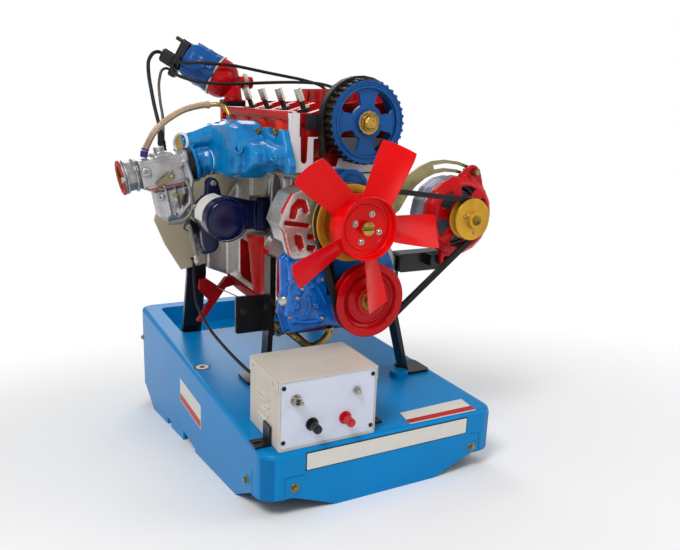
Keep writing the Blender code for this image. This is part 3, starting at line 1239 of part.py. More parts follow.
def belt(circles, middle, low_width, top_width, thickness, step=math.radians(13)):
    route = hull_route(circles, step)
    bm = bmesh.new()
    rings = []
    corners = ((0, -low_width / 2), (thickness, -top_width / 2), (thickness, top_width / 2), (0, low_width / 2))
    for x, z, nx, nz in route:
        ring = []
        for out, across in corners:
            ring.append(bm.verts.new((x + nx * out, middle + across, z + nz * out)))
        rings.append(ring)
    for i, ring in enumerate(rings):
        following = rings[(i + 1) % len(rings)]
        for n in range(4):
            bm.faces.new((ring[n], ring[(n + 1) % 4], following[(n + 1) % 4], following[n]))
    return from_bmesh("belt", bm)


def v_pulley(radius, start_y, bore_profile):
    # Outer half of a V-belt pulley's profile; bore_profile closes it on the axis side
    front = BELT_Y - PULLEY_WIDTH / 2
    back = BELT_Y + PULLEY_WIDTH / 2
    top = V_TOP / 2 + GROOVE_GAP * 2.2
    low = V_BOTTOM / 2 + GROOVE_GAP
    root = radius - V_DEPTH - GROOVE_GAP * 2
    outer = [(radius, front), (radius, BELT_Y - top), (root, BELT_Y - low), (root, BELT_Y + low),
             (radius, BELT_Y + top), (radius, back)]
    return [(r, y - start_y) for r, y in bore_profile[0] + outer + bore_profile[1]]


def make_crank_pulley():
    front = BELT_Y - PULLEY_WIDTH / 2
    back = BELT_Y + PULLEY_WIDTH / 2
    radius = CRANK_PULLEY_RADIUS
    rim = radius - V_DEPTH - PULLEY_RIM * 0.4
    hub = NOSE_RADIUS * 1.5
    inner = [(0, front - PULLEY_RIM * 0.6), (NOSE_RADIUS * 0.8, front - PULLEY_RIM * 0.6),
             (NOSE_RADIUS * 0.8, front + GAP), (hub, front + GAP), (hub, front + PULLEY_WIDTH * 0.45),
             (rim * 0.86, front + PULLEY_WIDTH * 0.5), (rim, front)]
    end = TIMING_REAR - TIMING_WIDTH - BITE
    wheel = CRANK_SPROCKET_RADIUS
    outer = [(hub, back), (hub, end - SHOULDER), (wheel, end - SHOULDER), (wheel, TIMING_REAR + GAP),
             (NOSE_RADIUS, TIMING_REAR + GAP), (NOSE_RADIUS, BLOCK_FRONT - 3 * GAP), (0, BLOCK_FRONT - 3 * GAP)]
    profile = v_pulley(radius, front, (inner, outer))
    pulley = turned(profile, (CRANK_X, front, CRANK_Z), (0, 1, 0), 16)
    finish(pulley, "crank_pulley", LOOKS["red"], (CRANK_X, BELT_Y, CRANK_Z))
    JOINTS["crank_pulley"] = (Vector((CRANK_X, BELT_Y, CRANK_Z)), (0, 1, 0))


def make_pump():
    # Pulley and shaft
    front = BELT_Y - PULLEY_WIDTH / 2
    back = BELT_Y + PULLEY_WIDTH / 2
    radius = PUMP_PULLEY_RADIUS
    web = front + PULLEY_WIDTH * 0.6
    end = PUMP_BACK - PUMP_SHAFT / 2
    inner = [(0, front - SHOULDER), (PUMP_SNOUT * 1.5, front - SHOULDER), (PUMP_SNOUT * 1.7, web - SHOULDER),
             (radius * 0.76, web - SHOULDER), (radius * 0.8, front)]
    outer = [(radius * 0.82, back), (radius * 0.78, web + PULLEY_WEB), (PUMP_SHAFT, web + PULLEY_WEB),
             (PUMP_SHAFT, end), (0, end)]
    profile = v_pulley(radius, front, (inner, outer))
    pulley = turned(profile, (PUMP_X, front, PUMP_Z), (0, 1, 0), 16)
    centre = (PUMP_X, BELT_Y, PUMP_Z)
    finish(pulley, "water_pump_pulley", LOOKS["yellow"], centre)
    JOINTS["water_pump_pulley"] = (Vector(centre), (0, 1, 0))

    # Fan: a bowl-shaped hub on a spacer, five twisted blades
    tip = FAN_FRONT
    hub = FAN_HUB_RADIUS
    seat = front - SHOULDER - GAP
    profile = [(0, tip + FAN_WEB_DEPTH), (hub - FAN_RIM, tip + FAN_WEB_DEPTH), (hub - FAN_RIM, tip + SHOULDER),
               (hub - FAN_RIM / 2, tip), (hub, tip + SHOULDER), (hub, tip + FAN_HUB_DEPTH),
               (hub - FAN_RIM, tip + FAN_HUB_DEPTH),
               (hub - FAN_RIM, tip + FAN_WEB_DEPTH + FAN_WEB), (FAN_SPACER, tip + FAN_WEB_DEPTH + FAN_WEB),
               (FAN_SPACER, seat), (0, seat)]
    fan = turned([(r, y - tip) for r, y in profile], (PUMP_X, tip, PUMP_Z), (0, 1, 0), 16)
    for i in range(FAN_BLADES):
        fuse(fan, make_blade(FAN_FIRST_ANGLE + 2 * math.pi * i / FAN_BLADES))
    cap = [(0, -BITE), (PUMP_SNOUT * 0.55, -BITE), (PUMP_SNOUT * 0.55, FAN_WEB),
           (PUMP_SNOUT * 0.35, FAN_WEB * 1.5), (0, FAN_WEB * 1.5)]
    fuse(fan, turned(cap, (PUMP_X, tip + FAN_WEB_DEPTH, PUMP_Z), (0, -1, 0), 10))
    finish(fan, "fan", LOOKS["red"], centre)


def make_blade(angle):
    # Sections from the hub's wall to the tip, turned less and less from the fan's plane
    section_count = 4
    across_count = 4
    start = FAN_HUB_RADIUS - FAN_RIM * 0.7
    bm = bmesh.new()
    grid = []
    for i in range(section_count):
        share = i / (section_count - 1)
        reach = start + (FAN_TIP_RADIUS - start) * share
        chord = BLADE_ROOT_CHORD + (BLADE_TIP_CHORD - BLADE_ROOT_CHORD) * share ** 0.8
        pitch = BLADE_ROOT_PITCH + (BLADE_TIP_PITCH - BLADE_ROOT_PITCH) * share
        row = []
        for n in range(across_count):
            t = n / (across_count - 1) - 0.5
            bow = BLADE_CAMBER * (1 - 4 * t * t)
            side = t * chord * math.cos(pitch) - bow * math.sin(pitch)
            deep = t * chord * math.sin(pitch) + bow * math.cos(pitch)
            out = math.sqrt(max(reach ** 2 - side ** 2, start ** 2 / 4))
            row.append(bm.verts.new((out, deep, side)))
        grid.append(row)
    for i in range(section_count - 1):
        for n in range(across_count - 1):
            bm.faces.new((grid[i][n], grid[i][n + 1], grid[i + 1][n + 1], grid[i + 1][n]))
    bm.transform(Matrix.Translation((PUMP_X, FAN_MIDDLE, PUMP_Z)) @ Matrix.Rotation(-angle, 4, "Y"))
    blade = from_bmesh("blade", bm)
    thick = blade.modifiers.new("Solidify", "SOLIDIFY")
    thick.thickness = BLADE_THICKNESS
    thick.offset = 0
    return bake(blade)


def make_pump_housing():
    # Cut-away casting: a body on the block's face left of the belt, an arm out to the shaft
    outline = spread(PUMP_BODY_SHARES, PUMP_BODY_X, PUMP_BODY_Z, PUMP_BODY_WIDTH, PUMP_BODY_HEIGHT)
    body = slab_xz([outline], PUMP_FRONT + PUMP_FACE_STEP, COVER_FRONT - GAP)
    # Behind the front cover's level the casting stands only above the cover
    floor = CRANK_Z + COVER_HIGH + GAP
    deep = [(x, max(z, floor)) for x, z in outline if z > PUMP_BODY_Z + PUMP_BODY_HEIGHT * 0.1]
    fuse(body, slab_xz([deep], COVER_FRONT - GAP - BITE, BLOCK_FRONT - GAP))
    arm = link_outline(PUMP_X, PUMP_Z, PUMP_SNOUT * 1.3, PUMP_BODY_X + PUMP_BODY_WIDTH * 0.55,
                       PUMP_Z - PUMP_FACE_STEP, PUMP_BODY_HEIGHT * 0.4, 4)
    fuse(body, slab_xz([arm], PUMP_FRONT + PUMP_FACE_STEP * 1.3, PUMP_BACK))
    fuse(body, rod((PUMP_X, PUMP_FRONT, PUMP_Z), (PUMP_X, PUMP_FRONT + 2 * PUMP_FACE_STEP, PUMP_Z), PUMP_SNOUT,
                   sides=14))
    # Keep clear of the timing belt behind the arm
    cut(body, rod((PUMP_X, PUMP_FRONT - OVER, PUMP_Z), (PUMP_X, PUMP_BACK - PUMP_SHAFT / 4, PUMP_Z),
                  (PUMP_SHAFT + GAP) / math.cos(math.pi / 12), sides=12))
    for shape in PUMP_PORT_SHARES:
        hole = spread(shape, PUMP_BODY_X, PUMP_BODY_Z, PUMP_BODY_WIDTH, PUMP_BODY_HEIGHT)
        cut(body, slab_xz([hole], PUMP_FRONT - OVER, PUMP_FRONT + PUMP_PORT_DEPTH))
    finish(body, "water_pump_housing", LOOKS["casting"])


def make_front_cover():
    left = CRANK_X - COVER_LEFT
    right = CRANK_X + COVER_RIGHT
    low = CRANK_Z - COVER_LOW
    high = CRANK_Z + COVER_HIGH
    outline = spread(COVER_SHARES, left, low, right - left, high - low)
    cover = slab_xz([outline], BLOCK_FRONT - COVER_PLATE, BLOCK_FRONT - GAP)
    # The pump body stands forward on the left of the crank nose, below and right too
    forward = spread(COVER_FORWARD_SHARES, left, low, right - left, high - low)
    fuse(cover, slab_xz([forward], COVER_FRONT, BLOCK_FRONT - COVER_PLATE + BITE))
    cut(cover, rod((CRANK_X, COVER_FRONT - OVER, CRANK_Z), (CRANK_X, BLOCK_FRONT - COVER_PLATE, CRANK_Z),
                   CRANK_SPROCKET_RADIUS + TIMING_THICKNESS + COVER_CLEARANCE, sides=18))
    cut(cover, rod((CRANK_X, COVER_FRONT - OVER, CRANK_Z), (CRANK_X, BLOCK_FRONT + OVER, CRANK_Z),
                   NOSE_RADIUS + COVER_SEAL, sides=14))
    for share_x, share_z in COVER_BOSS_SHARES:
        x = left + (right - left) * share_x
        z = low + (high - low) * share_z
        fuse(cover, rod((x, COVER_FRONT + BITE, z), (x, COVER_FRONT - COVER_BOSS / 2, z), COVER_BOSS,
                        COVER_BOSS * 0.83, sides=8))
    finish(cover, "oil_pump_cover", LOOKS["deepblue"])


def make_tensioner():
    back = TIMING_REAR - GAP
    front = TENSIONER_FRONT
    stud = TENSIONER_STUD + GAP
    roller = TIMING_REAR - TIMING_WIDTH - SHOULDER
    end = front + 3 * TENSIONER_STUD / 2 - GAP
    profile = [(0, front), (TENSIONER_DISC * 0.9, front), (TENSIONER_DISC, front + SHOULDER),
               (TENSIONER_DISC, front + TENSIONER_PLATE), (TENSIONER_STUD * 2, front + TENSIONER_PLATE * 1.25),
               (TENSIONER_STUD * 2, roller), (TENSIONER_RADIUS, roller), (TENSIONER_RADIUS, back), (stud, back),
               (stud, end), (0, end)]
    wheel = turned([(r, y - front) for r, y in profile], (TENSIONER_X, front, TENSIONER_Z), (0, 1, 0), 14)
    centre = (TENSIONER_X, TIMING_REAR - TIMING_WIDTH / 2, TENSIONER_Z)
    finish(wheel, "belt_tensioner", LOOKS["blue"], centre)
    JOINTS["belt_tensioner"] = (Vector(centre), (0, 1, 0))


def make_belts():
    middle = TIMING_REAR - TIMING_WIDTH / 2
    loop = belt([(CRANK_X, CRANK_Z, CRANK_SPROCKET_RADIUS + GAP), (CRANK_X, CRANK_Z_CAM, SPROCKET_RADIUS + GAP),
                 (TENSIONER_X, TENSIONER_Z, TENSIONER_RADIUS + GAP)], middle, TIMING_WIDTH, TIMING_WIDTH,
                TIMING_THICKNESS)
    finish(loop, "timing_belt", LOOKS["rubber"])
    drop = V_DEPTH + GROOVE_GAP * 0.8
    loop = belt([(CRANK_X, CRANK_Z, CRANK_PULLEY_RADIUS - drop), (ALT_X, ALT_Z, ALTERNATOR_PULLEY_RADIUS - drop),
                 (PUMP_X, PUMP_Z, PUMP_PULLEY_RADIUS - drop)], BELT_Y, V_BOTTOM, V_TOP, V_DEPTH, math.radians(10))
    finish(loop, "fan_belt", LOOKS["rubber"])


def make_alternator():
    front = ALT_FRONT
    seam = front + ALT_CASE_DEPTH
    radius = ALT_RADIUS
    hole = ALT_SHAFT + GAP * 2
    wall = ALT_WALL
    nose = front - ALT_NOSE
    profile = [(hole, nose), (ALT_SHAFT * 2.2, nose), (ALT_SHAFT * 2.4, front), (radius * 0.84, front),
               (radius, front + wall * 1.6), (radius, seam), (radius - wall, seam), (radius - wall, front + wall * 2),
               (radius * 0.8, front + wall), (ALT_SHAFT * 2.2, front + wall), (ALT_SHAFT * 2.2, seam - wall),
               (hole, seam - wall)]
    case = turned([(r, y - front) for r, y in profile], (ALT_X, front, ALT_Z), (0, 1, 0), 18)
    for x, z in ((UPPER_EAR_X, UPPER_EAR_Z), (LOWER_EAR_X, LOWER_EAR_Z)):
        ear = link_outline(ALT_X + (x - ALT_X) * 0.5, ALT_Z + (z - ALT_Z) * 0.72, EAR_RADIUS * 1.7,
                           x, z, EAR_RADIUS, 4)
        fuse(case, slab_xz([ear], seam - EAR_THICKNESS, seam - BITE / 2))
    # Spur of the upper ear
    spur = spread(SPUR_SHARES, UPPER_EAR_X, UPPER_EAR_Z - 3 * EAR_RADIUS, EAR_RADIUS * 3, EAR_RADIUS * 3.6)
    fuse(case, slab_xz([spur], seam - EAR_THICKNESS, seam - BITE / 2))
    # Cooling windows, hollow behind the ears and bolt holes
    for i in range(6):
        middle = math.radians(20) + i * math.pi / 3
        window = arc(ALT_X, ALT_Z, radius * 0.78, middle - 0.3, middle + 0.3, 2)
        window += arc(ALT_X, ALT_Z, radius * 0.42, middle + 0.26, middle - 0.26, 1)
        cut(case, slab_xz([window], front - 2 * OVER, seam - EAR_THICKNESS - SHOULDER))
    ring = [(ALT_SHAFT * 2.6, 0), (radius - wall, 0), (radius - wall, OVER * 5), (ALT_SHAFT * 2.6, OVER * 5)]
    cut(case, turned(ring, (ALT_X, seam - EAR_THICKNESS - SHOULDER, ALT_Z), (0, 1, 0), 18))
    for x, z in ((UPPER_EAR_X, UPPER_EAR_Z), (LOWER_EAR_X, LOWER_EAR_Z)):
        cut(case, rod((x, front, z), (x, seam + OVER, z), EAR_BOLT / math.cos(math.pi / 8), sides=8))
    finish(case, "alternator_front_case", LOOKS["red"])

    # Stator ring and rear case, clamped together
    start = seam + GAP
    ring = start + ALT_STATOR_DEPTH
    end = ring + ALT_REAR_DEPTH
    profile = [(0, end), (radius * 0.35, end), (radius * 0.8, end - wall), (radius * 0.95, end - 2 * wall),
               (radius * 0.95, ring), (radius * 0.99, ring - SHOULDER), (radius * 0.99, start + SHOULDER),
               (radius * 0.96, start), (radius * 0.74, start), (radius * 0.74, ring),
               (radius * 0.8, end - 2.5 * wall), (radius * 0.3, end - 1.5 * wall), (0, end - 1.5 * wall)]
    rear = turned([(r, y - start) for r, y in profile], (ALT_X, start, ALT_Z), (0, 1, 0), 16)
    for i in range(4):
        across = math.cos(i * math.pi / 2)
        up = math.sin(i * math.pi / 2)
        vent = link_outline(ALT_X + radius * 0.45 * across, ALT_Z + radius * 0.45 * up, wall * 0.6,
                            ALT_X + radius * 0.66 * across, ALT_Z + radius * 0.66 * up, wall * 0.8, 2)
        cut(rear, slab_xz([vent], end - 3 * wall, end + OVER))
    finish(rear, "alternator_rear_case", LOOKS["aluminium"])

    pulley_front = BELT_Y - PULLEY_WIDTH / 2
    pulley_back = BELT_Y + PULLEY_WIDTH / 2
    pr = ALTERNATOR_PULLEY_RADIUS
    ring_end = start + ALT_STATOR_DEPTH - SHOULDER
    nut = pulley_front - ALT_NUT_LENGTH
    boss = pulley_front - ALT_BOSS_LENGTH
    inner = [(0, nut), (ALT_SHAFT * 0.8, nut), (ALT_SHAFT * 0.8, boss), (ALT_SHAFT * 1.7, boss),
             (ALT_SHAFT * 1.9, pulley_front - SHOULDER), (pr * 0.9, pulley_front)]
    outer = [(ALT_SHAFT * 1.6, pulley_back + SHOULDER), (ALT_SHAFT, nose - GAP - SHOULDER),
             (ALT_SHAFT, seam - wall + SHOULDER), (radius * 0.66, seam - wall + 2 * SHOULDER),
             (radius * 0.66, ring_end), (0, ring_end)]
    profile = v_pulley(pr, pulley_front, (inner, outer))
    pulley = turned(profile, (ALT_X, pulley_front, ALT_Z), (0, 1, 0), 16)
    centre = (ALT_X, BELT_Y, ALT_Z)
    finish(pulley, "alternator_pulley", LOOKS["yellow"], centre)
    JOINTS["alternator_pulley"] = (Vector(centre), (0, 1, 0))

    # Slotted arm from the block to the upper ear, bowed upward
    start_p = Vector((ARM_START_X, ARM_START_Z))
    end_p = Vector((UPPER_EAR_X, UPPER_EAR_Z))
    chord = end_p - start_p
    normal = Vector((-chord.y, chord.x)).normalized()
    upper = []
    lower = []
    slot_upper = []
    slot_lower = []
    step_count = 7
    for i in range(step_count + 1):
        t = i / step_count
        middle = start_p + chord * t + normal * ARM_BULGE * 4 * t * (1 - t)
        slope = (chord + normal * ARM_BULGE * 4 * (1 - 2 * t)).normalized()
        side = Vector((-slope.y, slope.x))
        half = (ARM_WIDE + (ARM_NARROW - ARM_WIDE) * t) / 2
        upper.append(tuple(middle + side * half))
        lower.append(tuple(middle - side * half))
        if t > 0.52:
            slot_upper.append(tuple(middle + side * EAR_BOLT * 0.8))
            slot_lower.append(tuple(middle - side * EAR_BOLT * 0.8))
    leave = chord + normal * ARM_BULGE * 4
    arrive = chord - normal * ARM_BULGE * 4
    run = math.atan2(arrive.y, arrive.x)
    first = math.atan2(leave.y, leave.x)
    tip = arc(end_p.x, end_p.y, ARM_NARROW / 2, run - math.pi / 2, run + math.pi / 2, 4)
    heel = arc(start_p.x, start_p.y, ARM_WIDE / 2, first + math.pi / 2, first + 3 * math.pi / 2, 4)
    outline = lower[:-1] + tip + list(reversed(upper[:-1])) + heel[1:-1]
    arm = slab_xz([outline, slot_lower + list(reversed(slot_upper))], ARM_BACK - ARM_THICKNESS, ARM_BACK)
    tip = (UPPER_EAR_X, ARM_BACK + ARM_THICKNESS, UPPER_EAR_Z)
    fuse(arm, rod(tip, (UPPER_EAR_X, front + EAR_THICKNESS / 2, UPPER_EAR_Z), EAR_BOLT - GAP, sides=8))
    fuse(arm, rod((UPPER_EAR_X, ARM_BACK - BITE, UPPER_EAR_Z), tip, EAR_BOLT * 1.5, sides=6))
    finish(arm, "alternator_arm", LOOKS["zinc"])


def make_pan():
    # A shallow sheet tray under the crankcase with its floor cut open in front
    left = CRANK_X - PAN_HALF
    right = CRANK_X + PAN_HALF
    top = CRANK_Z - SKIRT_DROP - GAP
    floor = top - PAN_DEPTH
    front = BLOCK_FRONT + PAN_WALL
    length = (BLOCK_REAR - BLOCK_FRONT) * PAN_LENGTH_SHARE
    rear = front + length
    outer = block((left, front, floor), (right, rear, top), PAN_WALL * 1.5, 1, "xy")
    cut(outer, block((left + PAN_WALL, front + PAN_WALL, floor + PAN_WALL),
                     (right - PAN_WALL, rear - PAN_WALL, top + OVER)))
    rim = block((CRANK_X - SKIRT_HALF, BLOCK_FRONT + GAP, top - PAN_WALL),
                (CRANK_X + SKIRT_HALF, rear + PAN_WALL * 3, top))
    inset = PAN_WALL * 0.8
    cut(rim, block((left + inset, front + inset, top - PAN_WALL - OVER),
                   (right - inset, rear - inset, top + OVER)))
    fuse(outer, rim)
    for start, end in PAN_OPENING_SHARES:
        cut(outer, block((left + PAN_WALL * 4, front + length * start, floor - OVER),
                         (right - PAN_WALL * 4, front + length * end, floor + PAN_WALL + OVER), PAN_WALL * 3, 1, "z"))
    # A cut web hangs at the rear left corner
    web = spread(PAN_WEB_SHARES, CRANK_X - PLATE_LEFT, 0, PLATE_LEFT, CRANK_Z - SKIRT_DROP)
    fuse(outer, slab_xz([web], rear - PAN_WALL, rear + PAN_WALL * 2))
    finish(outer, "oil_pan", LOOKS["red"])


def make_rear_plate():
    left = CRANK_X - PLATE_LEFT
    right = CRANK_X + PLATE_RIGHT
    low = CRANK_Z - PLATE_LOW
    high = CRANK_Z + PLATE_HIGH
    outline = spread(REAR_PLATE_SHARES, left, low, right - left, high - low)
    hole = circle(CRANK_X, CRANK_Z, MAIN_RADIUS * 1.25, 16)
    plate = slab_xz([outline, hole], BLOCK_REAR + GAP, BLOCK_REAR + GAP + PLATE_THICKNESS)
    finish(plate, "rear_plate", LOOKS["cream"])


def make_pickup():
    # A bent pipe from the front cover's underside back to the strainer under the tray
    route = spread_route(PICKUP_SHARES, (CRANK_X, BLOCK_FRONT, CRANK_Z), CRANK_Z)
    tube = pipe(route, PICKUP_RADIUS, 2, 1)
    cup = turned([(0, 0), (STRAINER_RADIUS * 0.7, 0), (STRAINER_RADIUS, -STRAINER_DEPTH * 0.8),
                  (STRAINER_RADIUS * 0.96, -STRAINER_DEPTH), (0, -STRAINER_DEPTH)],
                 route[-1] + Vector((0, PICKUP_RADIUS, PICKUP_RADIUS * 0.6)), (0, 0, 1), 14)
    fuse(tube, cup)
    finish(tube, "oil_pickup_pipe", LOOKS["gold"])


def spread_route(shares, corner, size):
    return [Vector(corner) + Vector(share) * size for share in shares]


def manifold_layer(shares, left, right, edge=0.0):
    outline = spread(shares, MANIFOLD_FRONT, MANIFOLD_LOW, MANIFOLD_LENGTH, MANIFOLD_HEIGHT)
    return slab_yz([outline], left, right, edge)


def tilted(obj):
    # The carburettor and its flange hang a little nose-down off the manifold
    centre = Matrix.Translation((CARB_FLANGE_X, CARB_Y, CARB_Z))
    obj.data.transform(centre @ Matrix.Rotation(-CARB_TILT, 4, "Y") @ centre.inverted())
    return obj


def make_manifold():
    inner = CRANK_X - HEAD_LEFT - GAP
    flange_x = inner - MANIFOLD_FLANGE
    log_x = flange_x - MANIFOLD_LOG
    swell_x = log_x - MANIFOLD_SWELL
    body = manifold_layer(MANIFOLD_FLANGE_SHARES, flange_x, inner)
    fuse(body, manifold_layer(MANIFOLD_RUNNER_SHARES, flange_x - MANIFOLD_RUNNER, flange_x + BITE, MANIFOLD_EDGE))
    fuse(body, manifold_layer(MANIFOLD_LOG_SHARES, log_x, flange_x + 2 * MANIFOLD_EDGE, MANIFOLD_EDGE))
    fuse(body, manifold_layer(MANIFOLD_SWELL_SHARES, swell_x, log_x + 2 * MANIFOLD_EDGE, MANIFOLD_EDGE))
    # Branch to the carburettor and its tilted flange
    half_w = CARB_FLANGE_WIDTH / 2
    half_h = CARB_FLANGE_HEIGHT / 2
    face = CARB_FLANGE_X + FLANGE_THICKNESS
    hub = Vector((CARB_FLANGE_X, CARB_Y, CARB_Z))
    out = Vector((math.cos(CARB_TILT), 0, math.sin(CARB_TILT)))
    bend = hub + out * FLANGE_THICKNESS * 3
    fuse(body, rod(hub + out * FLANGE_THICKNESS / 2, bend, BRANCH_RADIUS, sides=14))
    join = (log_x + MANIFOLD_LOG / 3, CARB_Y - BRANCH_RADIUS / 2, CARB_Z + BRANCH_RADIUS * 0.5)
    fuse(body, rod(bend - out * FLANGE_THICKNESS / 2, join, BRANCH_RADIUS * 0.98, BRANCH_RADIUS * 1.1, 14))
    fuse(body, rod(bend - out * FLANGE_THICKNESS * 0.8, bend - out * FLANGE_THICKNESS * 0.3,
                   BRANCH_RADIUS * 1.12, sides=14))
    fuse(body, tilted(block((CARB_FLANGE_X, CARB_Y - half_w, CARB_Z - half_h),
                            (face, CARB_Y + half_w, CARB_Z + half_h), half_h * 0.7, 2, "x")))
    for share_y, share_z, depth, radius in MANIFOLD_BOSS_SHARES:
        y = MANIFOLD_FRONT + MANIFOLD_LENGTH * share_y
        z = MANIFOLD_LOW + MANIFOLD_HEIGHT * share_z
        start = flange_x - MANIFOLD_LOG * depth
        radius *= MANIFOLD_LOG
        fuse(body, rod((flange_x, y, z), (start, y, z), radius * 1.2, radius, 10))
        cut(body, rod((start + MANIFOLD_FLANGE, y, z), (start - OVER, y, z), radius * 0.45, sides=8))
    # Filler neck, lipped at its mouth
    mouth = Vector((NECK_X, NECK_Y, NECK_Z))
    root = Vector((NECK_END_X, NECK_END_Y, NECK_END_Z))
    along = (root - mouth).normalized()
    fuse(body, rod(mouth + along * BITE, root, NECK_RADIUS * 0.94, NECK_RADIUS * 1.1, 14))
    fuse(body, rod(mouth, mouth + along * NECK_RADIUS / 3, NECK_RADIUS * 1.08, sides=16))
    cut(body, rod(mouth - along * OVER, mouth + along * NECK_RADIUS * 2, NECK_BORE, sides=14))
    elbow = pipe([Vector(point) * MM for point in ELBOW_ROUTE], ELBOW_RADIUS, 1, 1)
    fuse(body, elbow)
    finish(body, "intake_manifold", LOOKS["lightblue"])

    plate = block((CARB_FLANGE_X - GAP - INSULATOR, CARB_Y - half_w * 0.96, CARB_Z - half_h * 0.97),
                  (CARB_FLANGE_X - GAP, CARB_Y + half_w * 0.96, CARB_Z + half_h * 0.97), half_h * 0.7, 2, "x")
    # Clear of the filler neck's lip
    clear = NECK_RADIUS * 1.08 + GAP
    plate = tilted(plate)
    cut(plate, rod(mouth - along * NECK_RADIUS * 2, mouth + along * NECK_RADIUS * 2,
                   clear / math.cos(math.pi / 14), sides=14))
    finish(plate, "carburettor_insulator", LOOKS["black"])


def make_carburettor():
    face = CARB_FLANGE_X - 2 * GAP - INSULATOR
    half_w = CARB_FLANGE_WIDTH / 2
    half_h = CARB_FLANGE_HEIGHT / 2
    flange = block((face - FLANGE_THICKNESS, CARB_Y - half_w * 0.92, CARB_Z - half_h * 0.9),
                   (face, CARB_Y + half_w * 0.92, CARB_Z + half_h * 0.94), half_h * 0.3, 2, "x")
    w = CARB_BODY_WIDTH / 2
    h = CARB_BODY_HEIGHT / 2
    start = HORN_X + HORN_LENGTH
    under = CARB_Z - h
    inner = face - FLANGE_THICKNESS / 2
    choke_x = start + w * 1.6
    choke_z = CARB_Z + h * 0.3
    tower_x = start + w * 1.4
    spindle_x = start + w * 1.5
    spindle_z = CARB_Z - h * 0.35
    pieces = [
        block((start, CARB_Y - w, under), (inner, CARB_Y + w, CARB_Z + h), h * 0.25, 2, "x"),
        rod((HORN_X, CARB_Y, CARB_Z), (start + OVER, CARB_Y, CARB_Z), HORN_RADIUS, HORN_RADIUS * 0.92, sides=16),
        rod((HORN_X, CARB_Y, CARB_Z), (HORN_X + OVER * 1.6, CARB_Y, CARB_Z), HORN_RADIUS * 1.1, sides=16),
        block((start + BOWL_LENGTH * 0.3, CARB_Y - BOWL_WIDTH / 2, under - BOWL_DEPTH),
              (inner, CARB_Y + BOWL_WIDTH / 2, under + BITE), BOWL_DEPTH * 0.16, 1),
        block((start + BOWL_LENGTH * 0.1, CARB_Y - BOWL_WIDTH * 0.56, under - OVER),
              (face - BITE, CARB_Y + BOWL_WIDTH * 0.56, under + OVER), OVER, 1, "z"),
        block((start + w * 0.9, CARB_Y - w * 0.8, CARB_Z + h - BITE),
              (face - w * 0.7, CARB_Y + w * 0.7, CARB_Z + h + OVER * 1.6), OVER, 1),
        rod((tower_x, CARB_Y, CARB_Z + h), (tower_x, CARB_Y, CARB_Z + h * 1.6), w * 0.3, sides=10),
        rod((choke_x, CARB_Y + w - BITE, choke_z), (choke_x, CARB_Y + w * 1.4, choke_z), h * 0.7, sides=12),
        rod((spindle_x, CARB_Y - w + BITE, spindle_z), (spindle_x, CARB_Y - w - CARB_SPINDLE_REACH, spindle_z),
            CARB_SPINDLE, sides=10),
    ]
    fuse(flange, *pieces)
    # Throat, and ribs on the bowl's near side
    cut(flange, rod((HORN_X - OVER, CARB_Y, CARB_Z), (HORN_X + HORN_LENGTH * 1.5, CARB_Y, CARB_Z),
                    HORN_BORE * 1.1, HORN_BORE * 0.8, sides=16))
    for i in range(3):
        x = start + BOWL_LENGTH * (0.55 + 0.25 * i)
        fuse(flange, block((x - OVER / 2, CARB_Y - BOWL_WIDTH / 2 - OVER * 0.8, under - BOWL_DEPTH * 0.8),
                           (x + OVER / 2, CARB_Y - BOWL_WIDTH / 2 + OVER, under - OVER / 2)))
    thick = FLANGE_THICKNESS
    hose = pipe([(face - thick, CARB_Y - w * 0.6, CARB_Z + h * 0.5),
                 (face - thick * 1.15, CARB_Y - w * 1.5, CARB_Z + h * 0.2),
                 (face - thick * 0.85, CARB_Y - w * 1.6, CARB_Z - h * 0.8),
                 (face - thick * 2, CARB_Y - w * 1.3, CARB_Z - h * 2.4),
                 (face - thick * 4.85, CARB_Y - w * 0.7, under - BOWL_DEPTH + OVER * 2)], CARB_HOSE_RADIUS, 1, 1)
    fuse(flange, hose)
    tilted(flange)
    # Upright seats of the cable's boot and of the hose
    low = CARB_Z - h * 0.7
    fuse(flange, rod((BOOT_X, BOOT_Y, low), (BOOT_X, BOOT_Y, BOOT_Z - 4 * GAP), BOOT_RADIUS, sides=8))
    fuse(flange, block((BOOT_X - BOOT_RADIUS * 0.85, CARB_Y + w - 2 * OVER, low + BITE),
                       (BOOT_X + BOOT_RADIUS * 0.85, BOOT_Y, CARB_Z)))
    fuse(flange, rod((HOSE_X, HOSE_Y, under), (HOSE_X, HOSE_Y, HOSE_Z - 4 * GAP), FUEL_HOSE_RADIUS * 0.9, sides=8))
    finish(flange, "carburettor", LOOKS["grey"])

    # Throttle lever on the spindle's near end
    pivot = Vector((spindle_x, CARB_Y - w - CARB_SPINDLE_REACH / 2, spindle_z))
    centre = Matrix.Translation((CARB_FLANGE_X, CARB_Y, CARB_Z))
    pivot = centre @ Matrix.Rotation(-CARB_TILT, 4, "Y") @ centre.inverted() @ pivot
    back = pivot.y + THROTTLE_PLATE / 2
    front = pivot.y - THROTTLE_PLATE / 2
    tip_x = pivot.x - THROTTLE_REACH
    tip_z = pivot.z - THROTTLE_DROP
    hole = circle(pivot.x, pivot.z, (CARB_SPINDLE + GAP) / math.cos(math.pi / 12), 12)
    arm = slab_xz([link_outline(pivot.x, pivot.z, THROTTLE_HUB, tip_x, tip_z, THROTTLE_TIP, 5), hole], front, back)
    fuse(arm, rod((tip_x, back - BITE, tip_z), (tip_x, front - THROTTLE_TIP, tip_z), THROTTLE_PIN, sides=8))
    finish(arm, "throttle_lever", LOOKS["zinc"], pivot)
    JOINTS["throttle_lever"] = (pivot, (0, 1, 0))


